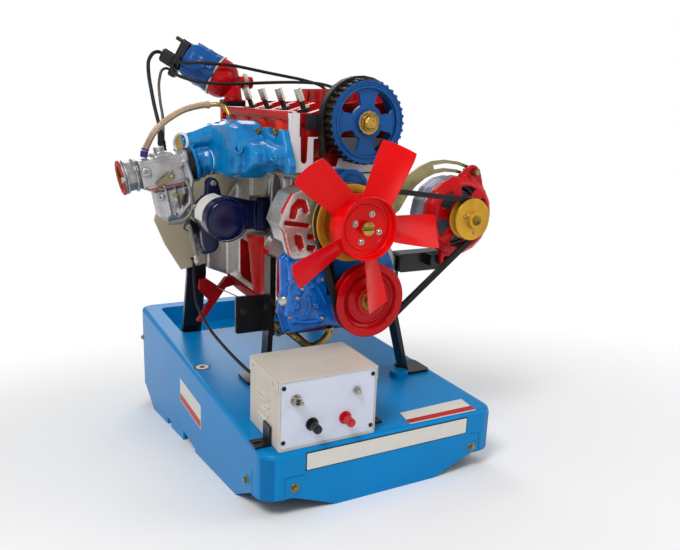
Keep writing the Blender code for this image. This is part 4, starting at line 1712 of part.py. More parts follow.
def make_filter():
    r = FILTER_RADIUS
    length = FILTER_LENGTH
    profile = [(0, 0), (r * 0.8, 0), (r * 0.93, r * 0.06), (r, r * 0.18), (r, length * 0.92),
               (r * 1.03, length * 0.94), (r * 1.03, length), (0, length)]
    can = turned(profile, (FILTER_X, FILTER_Y, FILTER_Z), (0, 1, 0), 16)
    finish(can, "oil_filter", LOOKS["navy"])
    y0 = FILTER_Y + length + GAP
    y1 = y0 + BRACKET_THICKNESS
    side = CRANK_X - JACKET_HALF - RIB_RADIUS - GAP
    head = link_outline(FILTER_X, FILTER_Z, r * 0.95, side - r * 0.7 - BITE, FILTER_Z - r * 0.2, r * 0.7, 5)
    mount = slab_xz([head], y0, y1)
    foot = block((side - r * 0.6, y0 - r * 0.2, FILTER_Z - r), (side, y1 + r * 0.5, FILTER_Z + r * 0.7),
                 r * 0.15, 2, "x")
    upper = link_outline(FILTER_X + r * 0.1, FILTER_Z + r * 0.4, r * 0.45,
                         FILTER_X, FILTER_Z + r * 1.43, r * 0.3, 4)
    lower = link_outline(FILTER_X - r * 0.2, FILTER_Z - r * 0.4, r * 0.45,
                         FILTER_X - r * 0.1, FILTER_Z - r * 1.6, r * 0.4, 5)
    fuse(mount, foot, slab_xz([upper], y0 + BITE, y1 - BITE), slab_xz([lower], y0 + BITE, y1 - BITE))
    finish(mount, "filter_bracket", LOOKS["navy"])

    # The pump's tilted end face just clears the bracket's rear
    aim = Vector((0.1, 1, -0.16)).normalized()
    lean = math.sqrt(1 - aim.y ** 2)
    top = Vector((FILTER_X - r * 0.1, y1 - BITE + GAP + r * 0.42 * lean, FILTER_Z - r * 1.6))
    pump = turned([(0, 0), (r * 0.42, 0), (r * 0.5, r * 0.2), (r * 0.62, r * 0.5), (r * 0.62, r * 1.0),
                   (r * 0.5, r * 1.1), (r * 0.45, r * 2.2), (0, r * 2.3)], top, aim, 12)
    cap = rod(top + Vector((0, r * 0.7, r * 0.3)), top + Vector((-r * 0.9, r * 0.6, r * 0.9)), r * 0.3, r * 0.34,
              sides=10)
    fuse(pump, cap)
    finish(pump, "fuel_pump", LOOKS["black"])


def distributor_frame():
    # The place of the cap's seat, with the axes near, up and outward
    aim = Vector(DIST_AIM).normalized()
    across = Vector((0, 0, 1)).cross(aim).normalized()
    up = aim.cross(across).normalized()
    place = Matrix((across, up, aim)).transposed().to_4x4()
    place.translation = Vector((DIST_X, DIST_Y, DIST_Z)) + aim * (CAP_LENGTH + DIST_LENGTH + 2 * GAP)
    return place


def make_distributor():
    place = distributor_frame()
    aim = place.col[2].to_3d()
    across = place.col[0].to_3d()
    tip = Vector((DIST_X, DIST_Y, DIST_Z))
    rc = CAP_RADIUS
    lc = CAP_LENGTH
    cap = turned([(0, 0), (rc * 0.55, 0), (rc * 0.62, lc * 0.12), (rc * 0.85, lc * 0.2), (rc, lc * 0.42),
                  (rc, lc * 0.9), (rc * 1.06, lc * 0.92), (rc * 1.06, lc), (0, lc)], tip, aim, 12)
    # A stub and a foot carry the housing on the head's rear corner
    rear = BLOCK_REAR - REAR_WALL / 3
    low = HEAD_Z + HEAD_HEIGHT + HEAD_WALL / 3 - BITE + GAP
    fuse(cap, rod(tip + aim * lc * 0.15, (tip.x, rear - 1.5 * HEAD_WALL, low + HEAD_WALL * 0.7), rc * 0.6,
                  rc * 0.5, sides=10))
    fuse(cap, block((tip.x - 2 * HEAD_WALL, rear - 2.6 * HEAD_WALL, low),
                    (tip.x + 1.6 * HEAD_WALL, rear - GAP, low + HEAD_WALL), HEAD_WALL / 4, 1, "z"))
    # Side stub with its flange
    root = tip + aim * lc * 0.4
    out = Vector((1, 0, 0))
    stub = DIST_STUB_RADIUS
    fuse(cap, rod(root, root + out * DIST_STUB_LENGTH, stub, sides=10))
    fuse(cap, rod(root + out * DIST_STUB_LENGTH * 0.66, root + out * DIST_STUB_LENGTH * 0.78, stub * 1.4, sides=10))
    finish(cap, "distributor_housing", LOOKS["red"])

    start = tip + aim * (lc + GAP)
    r = DIST_RADIUS
    length = DIST_LENGTH
    body = turned([(0, 0), (r * 0.92, 0), (r, length * 0.06), (r, length * 0.2), (r * 0.94, length * 0.24),
                   (r, length * 0.5), (r * 0.96, length * 0.54), (r * 0.98, length * 0.8), (r * 0.8, length),
                   (0, length)], start, aim, 12)
    for turn in (-1, 1):
        at = start + across * r * 1.1 * turn + aim * length * 0.1
        fuse(body, rod(at - aim * r * 0.2, at + aim * r * 0.4, r * 0.16, sides=8))
    finish(body, "distributor_body", LOOKS["blue"])

    # Angular cap: a block with a side plug, a lower plug and a prong
    cover = block((-r * 0.6, -r * 0.8, 0), (r * 0.5, r * 0.75, r * 0.5), r * 0.08, 1)
    plug = block((-r * 0.35, -r * 0.82, r * 0.3), (r * 0.35, -r * 0.12, r * 1.15), r * 0.1, 1)
    lower = block((-r * 0.25, -r * 1.2, r * 0.06), (r * 0.3, -r * 0.7, r * 0.46), r * 0.08, 1)
    prong = block((-r * 0.1, r * 0.5, r * 0.3), (r * 0.3, r * 0.7, r * 0.85), r * 0.05, 1)
    fuse(cover, plug, lower, prong)
    cover.data.transform(place)
    finish(cover, "distributor_cap", LOOKS["black"])


def make_leads():
    z = HEAD_Z + GAP + HEAD_HEIGHT * 0.72
    right = CRANK_X + HEAD_RIGHT
    aim = Vector(PLUG_AIM).normalized()
    place = distributor_frame()
    out = place.col[2].to_3d()
    near = place.col[0].to_3d()
    r = DIST_RADIUS
    # Where the leads and cables leave the cap: two on its near face, one on each plug
    low = place @ Vector((r * 0.5 + GAP, -r * 0.62, r * 0.26))
    high = place @ Vector((r * 0.5 + GAP, -r * 0.25, r * 0.2))
    leads = (("plug_lead_1", BORES[2], low, LEAD_1), ("plug_lead_2", BORES[3], high, LEAD_2))
    for name, y, first, route in leads:
        seat = Vector((right, y, z))
        end = seat + aim * PORT_DEPTH * 1.5
        points = [first, first + near * CABLE_RUN] + [Vector(point) * MM for point in route]
        points += [end + aim * PORT_DEPTH, end]
        lead = pipe(points, LEAD_RADIUS, 1, 1)
        boot = turned([(0, PORT_DEPTH * 0.285), (PORT_RADIUS * 0.7, PORT_DEPTH * 0.285),
                       (PORT_RADIUS * 0.6, PORT_DEPTH), (PORT_RADIUS * 0.4, PORT_DEPTH * 1.7),
                       (0, PORT_DEPTH * 1.7)], seat, PLUG_AIM, 8)
        fuse(lead, boot)
        finish(lead, name, LOOKS["rubber"])
    hose = pipe([Vector(point) * MM for point in FUEL_ROUTE], FUEL_HOSE_RADIUS, 2, 1)
    finish(hose, "fuel_hose", LOOKS["hose"])

    # Two cables run from the cap's plugs down into one boot on the carburettor
    reach = BOOT_LENGTH
    profile = [(0, 0), (BOOT_RADIUS, 0), (BOOT_RADIUS * 1.07, reach * 0.4), (BOOT_RADIUS * 0.7, reach * 0.95),
               (0, reach)]
    boot = turned(profile, (BOOT_X, BOOT_Y, BOOT_Z), (-0.1, 0, 1), 8)
    first = place @ Vector((0, -r * 0.47, r * 1.15 + GAP))
    points = [first, first + out * CABLE_RUN] + [Vector(point) * MM for point in CABLE_1]
    points.append(Vector((BOOT_X, BOOT_Y, BOOT_Z + reach * 0.55)))
    thick = pipe(points, THICK_CABLE_RADIUS, 1, 1)
    first = place @ Vector((0, -r * 0.97, r * 0.46 + GAP))
    points = [first, first + out * CABLE_RUN] + [Vector(point) * MM for point in CABLE_2]
    points.append(Vector((BOOT_X + THIN_CABLE_RADIUS, BOOT_Y, BOOT_Z + reach * 0.5)))
    thin = pipe(points, THIN_CABLE_RADIUS, 1, 1)
    fuse(thick, thin, boot)
    finish(thick, "ignition_cable", LOOKS["rubber"])

    # The free cable ends square on the rear plate and on the control box's back
    plate = BLOCK_REAR + GAP
    box = BOX_Y + BOX_DEPTH
    top = Vector((SUPPLY_TOP_X, plate, SUPPLY_TOP_Z))
    end = Vector((BOX_X + SUPPLY_INSET, box, SUPPLY_END_Z))
    run = Vector((0, SUPPLY_STRAIGHT, 0))
    points = [top, top - run, top - 2 * run] + [Vector(point) * MM for point in SUPPLY_ROUTE]
    points += [end + 2 * run, end + run, end]
    free = pipe(points, SUPPLY_RADIUS, 1, 1)
    finish(free, "supply_cable", LOOKS["rubber"])


def centre_model():
    # The origin goes to the middle of the footprint, on the surface that the rim stands on
    bpy.context.view_layer.update()
    low = Vector((math.inf, math.inf, math.inf))
    high = -low
    for obj in MODEL.objects:
        if obj.type != "MESH":
            continue
        for vert in obj.data.vertices:
            place = obj.matrix_world @ vert.co
            low = Vector(map(min, low, place))
            high = Vector(map(max, high, place))
    DECK.location -= Vector(((low.x + high.x) / 2, (low.y + high.y) / 2, low.z))
    bpy.context.view_layer.update()
    print("size", [round((high - low)[i] / MM, 1) for i in range(3)])
    for name, (place, axis) in JOINTS.items():
        world = DECK.matrix_world @ Vector(place)
        turn = DECK.matrix_world.to_3x3() @ Vector(axis)
        print("joint", name, [round(v, 5) for v in world], [round(v, 5) for v in turn])


def main():
    global DECK, MODEL, WORK
    clear_scene()
    MODEL = bpy.data.collections.new("four_stroke_engine_model")
    WORK = bpy.data.collections.new("cutters")
    bpy.context.scene.collection.children.link(MODEL)
    bpy.context.scene.collection.children.link(WORK)
    DECK = bpy.data.objects.new("deck_frame", None)
    MODEL.objects.link(DECK)
    DECK.rotation_euler = (BASE_TILT, 0, 0)
    DECK.location = (0, 0, SKIRT_FRONT * math.cos(BASE_TILT))
    LOOKS.update({
        "base": material("base blue", (0.01, 0.24, 0.52), 0.32),
        "black": material("black steel", (0.012, 0.012, 0.014), 0.4),
        "beige": material("beige case", (0.62, 0.57, 0.46), 0.45),
        "panel": material("pale panel", (0.72, 0.76, 0.82), 0.4),
        "steel": material("machined steel", (0.55, 0.55, 0.55), 0.3, 1.0),
        "chrome": material("polished steel", (0.8, 0.8, 0.78), 0.15, 1.0),
        "aluminium": material("aluminium", (0.7, 0.7, 0.7), 0.35, 1.0),
        "casting": material("silver casting", (0.6, 0.6, 0.6), 0.45, 0.8),
        "headred": material("section red", (0.55, 0.02, 0.02), 0.35),
        "red": material("bright red", (0.75, 0.01, 0.015), 0.25),
        "blue": material("mid blue", (0.02, 0.1, 0.3), 0.35),
        "deepblue": material("deep blue", (0.01, 0.1, 0.42), 0.3),
        "lightblue": material("light blue", (0.01, 0.28, 0.6), 0.25),
        "navy": material("navy blue", (0.005, 0.01, 0.07), 0.2),
        "yellow": material("yellow zinc", (0.7, 0.45, 0.06), 0.35, 0.5),
        "gold": material("gold zinc", (0.5, 0.38, 0.12), 0.3, 0.9),
        "zinc": material("pale zinc", (0.5, 0.47, 0.35), 0.35, 0.9),
        "cream": material("cream", (0.6, 0.54, 0.42), 0.5),
        "grey": material("grey metal", (0.42, 0.42, 0.44), 0.4, 0.7),
        "rubber": material("black rubber", (0.015, 0.014, 0.013), 0.6),
        "hose": material("clear hose", (0.45, 0.3, 0.18), 0.2),
    })
    make_base()
    make_legs()
    make_control_box()
    make_block()
    make_crankshaft()
    make_pistons()
    make_head()
    make_camshaft()
    make_cam_sprocket()
    make_crank_pulley()
    make_pump()
    make_pump_housing()
    make_front_cover()
    make_tensioner()
    make_belts()
    make_alternator()
    make_pan()
    make_rear_plate()
    make_pickup()
    make_manifold()
    make_carburettor()
    make_filter()
    make_distributor()
    make_leads()
    centre_model()


main()
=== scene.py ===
"""Looks of the sectioned engine model: camera, light, materials and fine pieces."""
import json
from math import cos, hypot, pi, radians, sin, sqrt

import bmesh
import bpy
from mathutils import Matrix, Vector
from mathutils.bvhtree import BVHTree


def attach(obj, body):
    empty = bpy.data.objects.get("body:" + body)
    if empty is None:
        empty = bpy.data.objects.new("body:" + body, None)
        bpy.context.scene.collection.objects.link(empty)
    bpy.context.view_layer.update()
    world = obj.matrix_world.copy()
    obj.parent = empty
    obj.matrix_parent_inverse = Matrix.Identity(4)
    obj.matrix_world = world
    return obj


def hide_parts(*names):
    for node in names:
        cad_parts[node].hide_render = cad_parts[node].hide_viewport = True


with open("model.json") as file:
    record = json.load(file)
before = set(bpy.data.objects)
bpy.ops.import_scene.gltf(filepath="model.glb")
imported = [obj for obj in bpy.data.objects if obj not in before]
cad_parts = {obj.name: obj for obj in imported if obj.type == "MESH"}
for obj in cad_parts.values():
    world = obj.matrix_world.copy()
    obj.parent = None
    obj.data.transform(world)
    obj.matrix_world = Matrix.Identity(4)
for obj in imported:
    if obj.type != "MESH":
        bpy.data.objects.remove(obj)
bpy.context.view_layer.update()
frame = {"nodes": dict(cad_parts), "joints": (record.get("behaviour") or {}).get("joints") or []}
NODES = frame["nodes"]

# The deck's own frame: everything below is placed in it, in millimetres
MM = 0.001
TILT = radians(9.83)
CRANK = Vector((214, 107.5, 172))
SPIN = [j for j in frame["joints"] if j["name"] == "crank_spin"][0]
TURN = Matrix.Rotation(TILT, 4, "X")
DECK = Matrix.Translation(Vector(SPIN["pos_m"]) - TURN @ (CRANK * MM)) @ TURN
MILLI = DECK @ Matrix.Scale(MM, 4)
BACK = MILLI.inverted()
UNTURN = TURN.inverted().to_3x3()

# Camera, with its axes in the deck's frame
EYE = Vector((-309.6, -769.2, 465.9))
FOCAL = 683.26
PICTURE = (680, 550)
SENSOR = 36
YAW, PITCH, ROLL = radians(28.35), radians(14.13), radians(2.16)
AHEAD = Vector((sin(YAW) * cos(PITCH), cos(YAW) * cos(PITCH), -sin(PITCH)))
LEVEL = Vector((cos(YAW), -sin(YAW), 0))
UPRIGHT = LEVEL.cross(AHEAD)
SIDE = LEVEL * cos(ROLL) + UPRIGHT * sin(ROLL)
TOP = UPRIGHT * cos(ROLL) - LEVEL * sin(ROLL)


def show(name, data):
    made = bpy.data.objects.new(name, data)
    bpy.context.scene.collection.objects.link(made)
    return made


def add_camera():
    place = Matrix((SIDE, TOP, -AHEAD)).transposed().to_4x4()
    place.translation = EYE * MM
    data = bpy.data.cameras.new("camera")
    data.sensor_width = SENSOR
    data.lens = FOCAL * SENSOR / PICTURE[0]
    data.clip_start = 0.01
    made = show("camera", data)
    made.matrix_world = DECK @ place
    bpy.context.scene.camera = made


add_camera()


# Numbers that all the materials and meshes share
COAT_ROUGHNESS = 0.08
CORNER_REACH = 0.012
BUMP_DEPTH = 0.0008
SAMPLES = 4
WELD_REACH = 0.00001
SHARP = radians(33)


def srgb(red, green, blue):
    return tuple((v / 255 / 12.92) if v <= 10 else ((v / 255 + 0.055) / 1.055) ** 2.4 for v in (red, green, blue))


def link(tree, a, b):
    tree.links.new(a, b)


def add_node(tree, kind, **values):
    made = tree.nodes.new("ShaderNode" + kind)
    for name, value in values.items():
        made.inputs[name.replace("_", " ")].default_value = value
    return made


def surface(name, colour, rough, metal=0.0, grain=(900, 0.05), mottle=(18, 0.12), painted_corner_shade=0.0, coat=0.0, bevel=0.7,
            second=None, gloss=0.3):
    # Base colour with mottling, fine grain as bump, soft edges and painted shade in the corners, where ambient
    # occlusion darkens the colour
    made = bpy.data.materials.new(name)
    made.use_nodes = True
    tree = made.node_tree
    shader = tree.nodes["Principled BSDF"]
    for socket, value in (("Metallic", metal), ("Coat Weight", coat), ("Coat Roughness", COAT_ROUGHNESS),
                          ("Specular IOR Level", gloss)):
        shader.inputs[socket].default_value = value
    where = add_node(tree, "TexCoord")
    noise = add_node(tree, "TexNoise", Scale=mottle[0], Detail=6)
    link(tree, where.outputs["Object"], noise.inputs["Vector"])
    ramp = add_node(tree, "ValToRGB")
    base = srgb(*colour)
    other = srgb(*second) if second else tuple(c * (1 - mottle[1] * 2) for c in base)
    lighter = tuple(min(1, c * (1 + mottle[1])) for c in base)
    ramp.color_ramp.elements[0].position = 0.3
    ramp.color_ramp.elements[1].position = 0.7
    ramp.color_ramp.elements[0].color = (*other, 1)
    ramp.color_ramp.elements[1].color = (*lighter, 1)
    middle = ramp.color_ramp.elements.new(0.5)
    middle.color = (*base, 1)
    link(tree, noise.outputs["Fac"], ramp.inputs["Fac"])
    out = ramp.outputs["Color"]
    # Painted shade: the colour is darkened by the given share where ambient occlusion finds corners and recesses
    if painted_corner_shade > 0:
        corner = add_node(tree, "AmbientOcclusion", Distance=CORNER_REACH)
        corner.samples = SAMPLES
        mix = add_node(tree, "Mix")
        mix.data_type = "RGBA"
        mix.inputs["A"].default_value = (*[c * (1 - painted_corner_shade) for c in base], 1)
        link(tree, corner.outputs["AO"], mix.inputs["Factor"])
        link(tree, out, mix.inputs["B"])
        out = mix.outputs["Result"]
    link(tree, out, shader.inputs["Base Color"])
    # Roughness follows the mottling a little
    spread = add_node(tree, "MapRange", To_Min=max(0.03, rough * 0.8), To_Max=min(1.0, rough * 1.25))
    link(tree, noise.outputs["Fac"], spread.inputs["Value"])
    link(tree, spread.outputs["Result"], shader.inputs["Roughness"])
    fine = add_node(tree, "TexNoise", Scale=grain[0], Detail=3)
    link(tree, where.outputs["Object"], fine.inputs["Vector"])
    bump = add_node(tree, "Bump", Strength=grain[1], Distance=BUMP_DEPTH)
    link(tree, fine.outputs["Fac"], bump.inputs["Height"])
    if bevel > 0:
        soft = add_node(tree, "Bevel", Radius=bevel * MM)
        soft.samples = SAMPLES
        link(tree, soft.outputs["Normal"], bump.inputs["Normal"])
    link(tree, bump.outputs["Normal"], shader.inputs["Normal"])
    return made


M = {
    "base": surface("moulded_blue", (0, 128, 194), 0.3, grain=(260, 0.1), mottle=(9, 0.04), bevel=1.5, gloss=0.14),
    # Darker copy of the moulded blue: painted shade on the shell's inner faces, and the colour of the seams
    "base_in": surface("moulded_blue_deep", (0, 106, 168), 0.45, grain=(260, 0.2), mottle=(9, 0.05), bevel=1.5,
                       gloss=0.12),
    "black": surface("black_paint", (20, 20, 22), 0.32, grain=(500, 0.12), mottle=(30, 0.2), coat=0.2),
    "beige": surface("beige_powder_coat", (200, 192, 180), 0.5, grain=(1500, 0.25), mottle=(25, 0.03)),
    "panel": surface("pale_panel_paint", (206, 212, 228), 0.35, grain=(900, 0.06), mottle=(12, 0.02)),
    "chrome": surface("polished_steel", (178, 174, 164), 0.2, 1.0, grain=(700, 0.05), mottle=(60, 0.15)),
    "steel": surface("machined_steel", (168, 165, 158), 0.3, 1.0, grain=(500, 0.15), mottle=(40, 0.2), painted_corner_shade=0.4),
    "dark_steel": surface("oiled_dark_steel", (60, 52, 44), 0.38, 0.6, grain=(600, 0.2), mottle=(60, 0.3), painted_corner_shade=0.4),
    "alloy": surface("machined_alloy", (188, 188, 190), 0.34, 0.85, grain=(700, 0.12), mottle=(30, 0.1), painted_corner_shade=0.3),
    "lilac": surface("stator_casting", (140, 140, 162), 0.4, 0.5, grain=(300, 0.3), mottle=(30, 0.14), painted_corner_shade=0.5),
    "cast": surface("silver_casting", (200, 197, 192), 0.3, 0.8, grain=(160, 0.9), mottle=(60, 0.06), painted_corner_shade=0.55,
                    bevel=1.6),
    "cut_red": surface("section_red", (188, 14, 12), 0.32, grain=(300, 0.15), mottle=(26, 0.1), painted_corner_shade=0.45, gloss=0.2,
                       second=(150, 12, 10)),
    "panel_red": surface("cast_section_red", (222, 44, 18), 0.26, grain=(110, 0.6), mottle=(34, 0.06), painted_corner_shade=0.12,
                         coat=0.2, second=(196, 30, 12), gloss=0.2),
    "deep_red": surface("deep_section_red", (158, 8, 12), 0.35, grain=(300, 0.15), mottle=(26, 0.14), painted_corner_shade=0.4,
                        gloss=0.2),
    "cut_white": surface("section_white", (222, 218, 222), 0.4, grain=(300, 0.1), mottle=(20, 0.03), painted_corner_shade=0.15),
    "red": surface("signal_red", (190, 4, 14), 0.24, grain=(300, 0.05), mottle=(14, 0.05), coat=0.08, painted_corner_shade=0.3,
                   gloss=0.18),
    "fan": surface("fan_red", (222, 4, 8), 0.24, grain=(160, 0.04), mottle=(10, 0.04), coat=0.06, bevel=1.0,
                   gloss=0.14),
    "blue": surface("wheel_blue", (10, 78, 144), 0.3, grain=(400, 0.15), mottle=(24, 0.08), coat=0.08, painted_corner_shade=0.35,
                    gloss=0.2),
    "pump_blue": surface("pump_blue", (0, 102, 192), 0.2, grain=(120, 0.9), mottle=(30, 0.1), coat=0.35, painted_corner_shade=0.3,
                         bevel=2.0, second=(0, 80, 164), gloss=0.3),
    "sky": surface("manifold_blue", (0, 124, 188), 0.22, grain=(90, 0.7), mottle=(26, 0.1), coat=0.3, painted_corner_shade=0.4,
                   bevel=2.0, second=(0, 96, 158), gloss=0.25),
    "navy": surface("navy_paint", (4, 12, 60), 0.2, grain=(200, 0.02), mottle=(20, 0.12), painted_corner_shade=0.2, gloss=0.35),
    "yellow": surface("yellow_zinc", (206, 156, 44), 0.34, 0.45, grain=(420, 0.15), mottle=(30, 0.12), painted_corner_shade=0.25),
    "gold": surface("gold_zinc", (172, 140, 72), 0.27, 0.95, grain=(420, 0.15), mottle=(60, 0.35), painted_corner_shade=0.3),
    "olive": surface("olive_gold", (140, 116, 44), 0.3, 0.6, grain=(420, 0.15), mottle=(60, 0.3), painted_corner_shade=0.4),
    "zinc": surface("pale_zinc", (148, 138, 100), 0.33, 0.8, grain=(420, 0.15), mottle=(40, 0.2), painted_corner_shade=0.2),
    "cream": surface("cream_paint", (204, 190, 158), 0.42, grain=(500, 0.12), mottle=(16, 0.08), painted_corner_shade=0.3),
    "grey": surface("carburettor_alloy", (182, 181, 182), 0.32, 0.7, grain=(300, 0.6), mottle=(40, 0.14), painted_corner_shade=0.55,
                    bevel=1.0),
    "rubber": surface("black_rubber", (24, 22, 21), 0.5, grain=(800, 0.25), mottle=(60, 0.2)),
    "brown_rubber": surface("brown_grey_cable", (92, 78, 68), 0.42, grain=(800, 0.25), mottle=(60, 0.2)),
    "grey_tube": surface("grey_tube", (120, 118, 116), 0.35, grain=(800, 0.2), mottle=(60, 0.12), coat=0.2),
    "plastic": surface("black_plastic", (24, 23, 24), 0.3, grain=(500, 0.12), mottle=(30, 0.15), coat=0.2),
    "hose": surface("tinted_hose", (186, 160, 130), 0.18, grain=(300, 0.05), mottle=(14, 0.18), coat=0.6),
    "hose_line": surface("hose_shadow", (120, 92, 66), 0.25, grain=(300, 0.05), mottle=(14, 0.18)),
    "label": surface("bare_label", (214, 212, 204), 0.4, grain=(500, 0.04), mottle=(60, 0.02)),
    "ink_and_hole_shade": surface("black_border_and_hole_shade", (18, 18, 20), 0.4, grain=(500, 0.04), mottle=(40, 0.1)),
    "rust_red": surface("gasket_red", (178, 44, 22), 0.5, grain=(600, 0.2), mottle=(50, 0.15)),
    "red_plastic": surface("red_plastic", (190, 14, 22), 0.22, grain=(500, 0.05), mottle=(30, 0.08), coat=0.4),
    "throat": surface("brass_lining", (178, 152, 86), 0.3, 0.4, grain=(300, 0.3), mottle=(30, 0.2), painted_corner_shade=0.2),
    "violet": surface("clamp_violet", (52, 44, 140), 0.3, 0.3, grain=(500, 0.1), mottle=(60, 0.2)),
    # Dark purple of the thin sheet that stands in for the shade in the head's front opening
    "shadow": surface("dark_purple_shade_sheet", (44, 38, 50), 0.45, 0.3, grain=(260, 0.4), mottle=(40, 0.3)),
}


# Places that several pieces share, as x and z of the axes that run front to back
CRANK_XZ, CAM_XZ, PUMP_XZ = (CRANK.x, CRANK.z), (214, 439), (176, 295)
ALTERNATOR_XZ, FILTER_XZ, TENSIONER_XZ = (400, 290), (37, 280), (184.5, 344)
BORES = (226, 302, 378, 454)
CARBURETTOR = Vector((20, 400, 355))
DISTRIBUTOR = Vector((128, 489, 490))
FORWARD, REARWARD, LEFTWARD, RIGHTWARD, UPWARD = (0, -1, 0), (0, 1, 0), (-1, 0, 0), (1, 0, 0), (0, 0, 1)
FRONT_ON = Matrix(((1, 0, 0, 0), (0, 0, -1, 0), (0, 1, 0, 0), (0, 0, 0, 1)))
SIDE_ON = Matrix(((0, 0, -1, 0), (1, 0, 0, 0), (0, 1, 0, 0), (0, 0, 0, 1)))


# Tools: rays onto the CAD, and pieces gathered by body and finish
TREES = {}
GROUPS = {}


def tree_of(node):
    if node not in TREES:
        mesh = NODES[node].data
        TREES[node] = BVHTree.FromPolygons([BACK @ v.co for v in mesh.vertices],
                                           [tuple(p.vertices) for p in mesh.polygons])
    return TREES[node]


def cast(node, start, along):
    where, normal, _, _ = tree_of(node).ray_cast(Vector(start), Vector(along).normalized())
    if where is None:
        print("no hit on", node, start)
        where, normal, _, _ = tree_of(node).find_nearest(Vector(start))
    return where, normal


def sight(u, v):
    # The way from the eye through a pixel, one long along the view
    return AHEAD + SIDE * ((u - PICTURE[0] / 2) / FOCAL) - TOP * ((v - PICTURE[1] / 2) / FOCAL)


def spot(node, u, v):
    # Where the line of sight through a pixel meets a node
    along = sight(u, v)
    where, normal, _, _ = tree_of(node).ray_cast(EYE, along.normalized())
    if where is None:
        print("no hit on", node, u, v)
        where, normal, _, _ = tree_of(node).find_nearest(EYE + along * 850)
    return where, normal


def across(u, v, axis, value):
    # Where the line of sight through a pixel meets a plane of the deck's frame
    along = sight(u, v)
    return EYE + along * ((value - EYE[axis]) / along[axis])


def seat(where, normal, lift=0.0):
    place = Vector(normal).to_track_quat("Z", "Y").to_matrix().to_4x4()
    place.translation = Vector(where) + Vector(normal).normalized() * lift
    return place


def seat_at(node, u, v, normal=FORWARD, lift=0.0):
    # A seat where a pixel's line of sight meets a node
    return seat(spot(node, u, v)[0], normal, lift)


def on_axis(axis, y):
    # A seat on one of the front-to-back axes, looking forward
    return seat(Vector((axis[0], y, axis[1])), FORWARD)


def group(name, look, body="stand"):
    if name not in GROUPS:
        GROUPS[name] = (bmesh.new(), body, look)
    return GROUPS[name][0]


def lathe(bm, profile, place, sides=20, closed=False):
    rings = []
    for r, z in profile:
        if r < 1e-6:
            rings.append([bm.verts.new(place @ Vector((0, 0, z)))])
        else:
            rings.append([bm.verts.new(place @ Vector((r * cos(2 * pi * i / sides),
                                                       r * sin(2 * pi * i / sides), z)))
                          for i in range(sides)])
    pairs = list(zip(rings, rings[1:]))
    if closed:
        pairs.append((rings[-1], rings[0]))
    for a, b in pairs:
        for i in range(sides):
            j = (i + 1) % sides
            if len(a) == 1 and len(b) == 1:
                continue
            if len(a) == 1:
                bm.faces.new((a[0], b[i], b[j]))
            elif len(b) == 1:
                bm.faces.new((a[i], b[0], a[j]))
            else:
                bm.faces.new((a[i], b[i], b[j], a[j]))


def ring(name, look, profile, place, sides, body="stand"):
    lathe(group(name, look, body), profile, place, sides, closed=True)


def slab(bm, outline, z0, z1, place):
    low = [bm.verts.new(place @ Vector((x, y, z0))) for x, y in outline]
    high = [bm.verts.new(place @ Vector((x, y, z1))) for x, y in outline]
    bm.faces.new(low[::-1])
    bm.faces.new(high)
    for i in range(len(outline)):
        j = (i + 1) % len(outline)
        bm.faces.new((low[i], low[j], high[j], high[i]))


def rounded(x0, y0, x1, y1, r, steps=4):
    points = []
    for cx, cy, first in ((x1 - r, y1 - r, 0), (x0 + r, y1 - r, 90), (x0 + r, y0 + r, 180), (x1 - r, y0 + r, 270)):
        for i in range(steps + 1):
            angle = radians(first + 90 * i / steps)
            points.append((cx + r * cos(angle), cy + r * sin(angle)))
    return points


def smooth(points, per):
    points = [Vector(p) for p in points]
    route = []
    for i in range(len(points) - 1):
        a = points[max(i - 1, 0)]
        b, c = points[i], points[i + 1]
        d = points[min(i + 2, len(points) - 1)]
        for step in range(per):
            t = step / per
            route.append(0.5 * (2 * b + (c - a) * t + (2 * a - 5 * b + 4 * c - d) * t * t
                                + (3 * b - a - 3 * c + d) * t * t * t))
    return route + [points[-1]]


def tube(bm, route, radius, sides=12):
    # A sweep with turning kept small, so that the tube doesn't twist
    ahead = (route[1] - route[0]).normalized()
    side = ahead.orthogonal().normalized()
    rings = []
    for i, point in enumerate(route):
        towards = (route[min(i + 1, len(route) - 1)] - route[max(i - 1, 0)]).normalized()
        side = (side - towards * side.dot(towards)).normalized()
        other = towards.cross(side)
        r = radius[i] if isinstance(radius, list) else radius
        rings.append([bm.verts.new(point + side * (r * cos(2 * pi * n / sides))
                                   + other * (r * sin(2 * pi * n / sides))) for n in range(sides)])
    for a, b in zip(rings, rings[1:]):
        for n in range(sides):
            m = (n + 1) % sides
            bm.faces.new((a[n], a[m], b[m], b[n]))
    bm.faces.new(rings[0][::-1])
    bm.faces.new(rings[-1])


def coil(bm, foot, axis, radius, wire, turns, height):
    place = seat(foot, axis)
    route = []
    count = int(turns * 14)
    for i in range(count + 1):
        angle = 2 * pi * turns * i / count
        route.append(place @ Vector((radius * cos(angle), radius * sin(angle), height * i / count)))
    tube(bm, route, wire, 6)


def finish_piece(name, bm, look, body="stand"):
    bmesh.ops.recalc_face_normals(bm, faces=bm.faces)
    mesh = bpy.data.meshes.new(name)
    bm.to_mesh(mesh)
    bm.free()
    mesh.transform(MILLI)
    mesh.shade_smooth()
    mesh.set_sharp_from_angle(angle=SHARP)
    mesh.materials.append(M[look])
    made = show(name, mesh)
    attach(made, body)
    return made


def hex_bolt(place, name, look, r, body="stand", washer=True):
    bm = group(name, look, body)
    if washer:
        lathe(bm, [(0, -0.4), (r * 1.55, -0.4), (r * 1.6, 0.5), (r * 1.5, 1.1), (0, 1.1)], place, 24)
    base = 1.1 if washer else -0.4
    lathe(bm, [(0, base), (r, base), (r, base + r * 0.75), (r * 0.86, base + r * 0.9), (0, base + r * 0.9)], place, 6)


